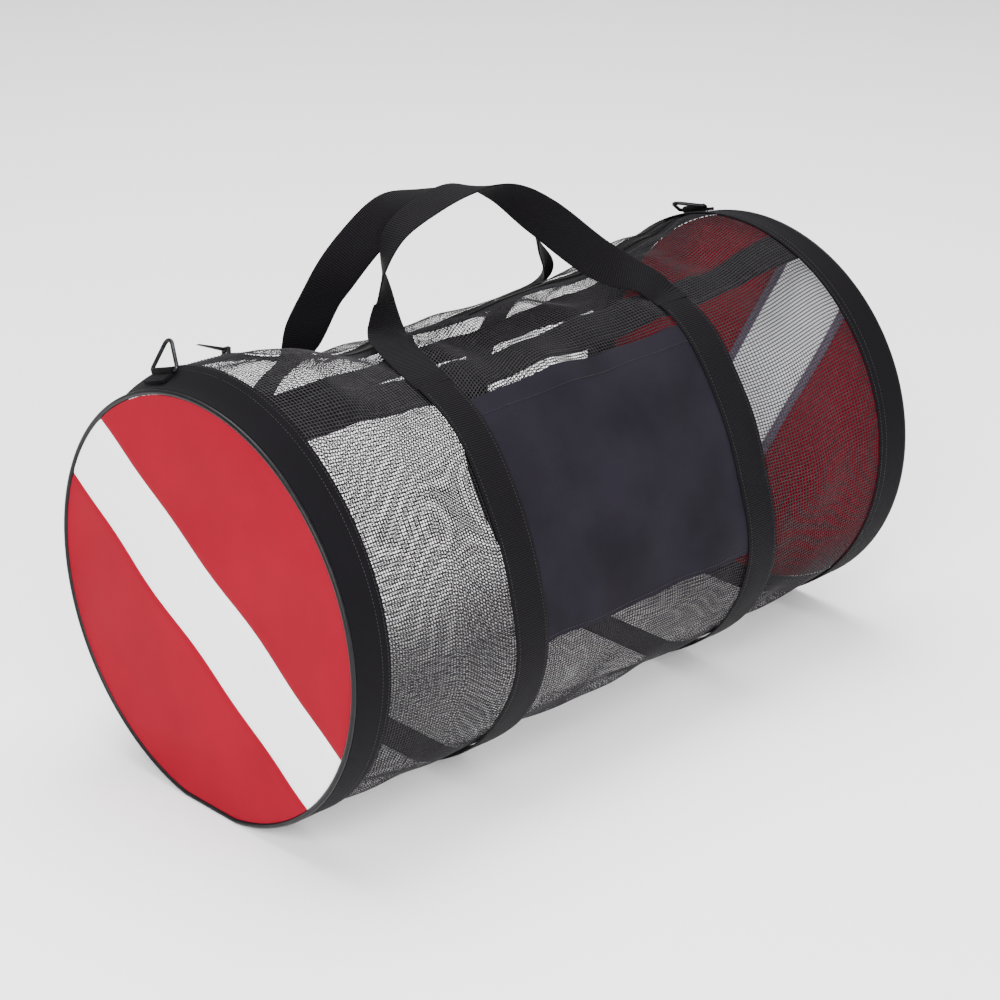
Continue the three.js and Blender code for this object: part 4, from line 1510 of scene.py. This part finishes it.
@dataclass
class ShoulderRing:
    """A ring of bent wire in a webbing tab on an end band. corner and tip are the wire's bending
    radii at the bar's ends and at the tip."""

    side: Side
    width: float = 38.0
    height: float = 32.0
    wire: float = 3.6
    corner: float = 3.0
    tip: float = 6.0
    rounding: float = 0.3

    def seat(self) -> Matrix:
        """The ring's frame.

        Returns:
            A matrix whose Y is the ring's bar at the joint and whose Z points to its tip.
        """
        name = f"ring_{self.side.word}"
        joint = next(j for j in frame["joints"] if j["child"] == name)
        origin, bar = Vector(joint["pos_m"]), Vector(joint["axis"]).normalized()
        away = [v.co - origin for v in frame["nodes"][f"d_{name}"].data.vertices]
        tip = max((v - bar * v.dot(bar) for v in away), key=lambda v: v.length).normalized()
        columns = Matrix((bar.cross(tip), bar, tip)).transposed()
        return Matrix.Translation(origin) @ columns.to_4x4()

    def line(self) -> Array:
        """The wire's closed centre line.

        Returns:
            Its points in the ring's own plane, y and z.
        """
        leg = math.atan2(self.height, self.width / 2)
        straight = self.width - 2 * self.corner / math.tan(leg / 2)
        out = math.pi / 2 - leg
        arcs = (
            ((straight / 2, self.corner), self.corner, -math.pi / 2, math.pi / 2 + out),
            ((0, self.height - self.tip / math.cos(leg)), self.tip, out, math.pi - 2 * out),
            ((-straight / 2, self.corner), self.corner, math.pi - out, math.pi / 2 + out),
        )
        points = []
        for (y, z), radius, start, sweep in arcs:
            turns = start + sweep * np.linspace(0, 1, 13)
            points.append(together(y + radius * np.cos(turns), z + radius * np.sin(turns)))
        return np.concatenate(points)

    def build(self) -> None:
        """Builds the ring and dresses its tab."""
        line, word = self.line(), self.side.word
        tangent = unit(np.roll(line, -1, axis=0) - np.roll(line, 1, axis=0))
        turns = np.linspace(0, math.tau, 17)[:-1]
        side, up = self.wire / 2 * np.cos(turns)[None, :], self.wire / 2 * np.sin(turns)[None, :]
        ys, zs = line[:, :1] + tangent[:, 1:] * side, line[:, 1:] - tangent[:, :1] * side
        obj = tube(f"shoulder_ring_{word}", together(up, ys, zs))
        obj.data.transform(self.seat())
        settle(dress(obj, RING_STEEL), f"ring_{word}", "steel", f"d_ring_{word}")
        self.tab()

    def tab(self) -> None:
        """The webbing tab round the ring's bar, sewn down on the band."""
        node = f"ring_tab_{self.side.word}"
        obj = softened(f"{node}_webbing", node, self.rounding)
        inverse = self.seat().inverted()
        layer = obj.data.uv_layers.get(CLOTH_UV) or obj.data.uv_layers.new(name=CLOTH_UV)
        for loop in obj.data.loops:
            place = inverse @ obj.data.vertices[loop.vertex_index].co
            layer.data[loop.index].uv = (place.y, math.hypot(place.x, place.z))
        settle(dress(obj, WEBBING), BAG, "webbing", node)


# The studio

@dataclass
class Studio:
    """A plain pale floor, soft light and the camera at the photograph's angle. Places are in
    metres and angles in radians; each light is its place, its size and its power."""

    eye: tuple[float, float, float] = (-1.5666, -1.5873, 1.1561)
    yaw: float = 0.77787
    pitch: float = 0.41183
    roll: float = 0.00221
    view_angle: float = 2 * math.atan(500 / 2672.93)
    floor_reach: float = 12.0
    floor_drop: float = 0.0005
    floor_roughness: float = 0.9
    sky_strength: float = 0.62
    aim: tuple[float, float, float] = (0.0, 0.0, 0.2)
    key: tuple[Sequence[float], float, float] = ((-2.8, -1.6, 2.4), 1.6, 180)
    fill: tuple[Sequence[float], float, float] = ((-1.4, -2.9, 1.3), 1.8, 130)
    top: tuple[Sequence[float], float, float] = ((0.3, 0.6, 3.2), 2.6, 220)

    def camera(self) -> None:
        """The camera."""
        flat = math.cos(self.pitch)
        east, north = flat * math.sin(self.yaw), flat * math.cos(self.yaw)
        ahead = Vector((east, north, -math.sin(self.pitch)))
        right = ahead.cross(Vector((0, 0, 1))).normalized()
        up = right.cross(ahead)
        c, s = math.cos(self.roll), math.sin(self.roll)
        right, up = c * right + s * up, c * up - s * right
        data = bpy.data.cameras.new("camera")
        data.sensor_fit = "HORIZONTAL"
        data.angle = self.view_angle
        data.clip_end = 50
        camera = new_object("camera", data)
        turned = Matrix((right, up, -ahead)).transposed().to_4x4()
        camera.matrix_world = Matrix.Translation(self.eye) @ turned
        bpy.context.scene.camera = camera

    def floor(self) -> None:
        """A wide pale floor."""
        mesh = bpy.data.meshes.new("studio_floor")
        side = self.floor_reach
        corners = [(-side, -side, 0), (side, -side, 0), (side, side, 0), (-side, side, 0)]
        mesh.from_pydata(corners, [], [(0, 1, 2, 3)])
        material = bpy.data.materials.new("pale_floor")
        material.use_nodes = True
        tree = material.node_tree
        paint = {"Base Color": linear("ffffff"), "Roughness": self.floor_roughness}
        feed(tree, tree.nodes["Principled BSDF"], paint)
        mesh.materials.append(material)
        obj = new_object("studio_floor", mesh)
        obj.location.z = -self.floor_drop

    def light(self, name: str, place: Sequence[float], size: float, power: float) -> None:
        """A soft area light aimed at the bag's middle.

        Args:
            name: the light's name.
            place: where it stands.
            size: the width of its square.
            power: its power in watts.
        """
        data = bpy.data.lights.new(name, "AREA")
        data.size = size
        data.energy = power
        turned = (Vector(self.aim) - Vector(place)).to_track_quat("-Z", "Y").to_matrix().to_4x4()
        new_object(name, data).matrix_world = Matrix.Translation(place) @ turned

    def build(self) -> None:
        """Sets up the camera, the floor and the lights."""
        self.camera()
        self.floor()
        world = bpy.data.worlds.new("studio")
        world.use_nodes = True
        sky = {"Color": (1, 1, 1, 1), "Strength": self.sky_strength}
        feed(world.node_tree, world.node_tree.nodes["Background"], sky)
        bpy.context.scene.world = world
        self.light("key", *self.key)
        self.light("fill", *self.fill)
        self.light("top", *self.top)


def main() -> None:
    """Builds the bag's sub-assemblies in order and reports each piece."""
    logging.basicConfig(level=logging.INFO, format="%(name)s: %(message)s")
    straps = Webbing()
    parts: tuple[Any, ...] = (
        Studio(),
        MeshBody(),
        EndOfBag(Side.LEFT, slope=35.0),
        EndOfBag(Side.RIGHT, slope=118.0, phase=2.0),
        straps,
        Pocket(),
        Zip(),
        Handle("handle_front", HANDLE_FRONT, straps.end_front),
        Handle("handle_back", HANDLE_BACK, straps.end_back),
        ShoulderRing(Side.LEFT),
        ShoulderRing(Side.RIGHT),
    )
    for part in parts:
        part.build()


if __name__ == "__main__":
    main()
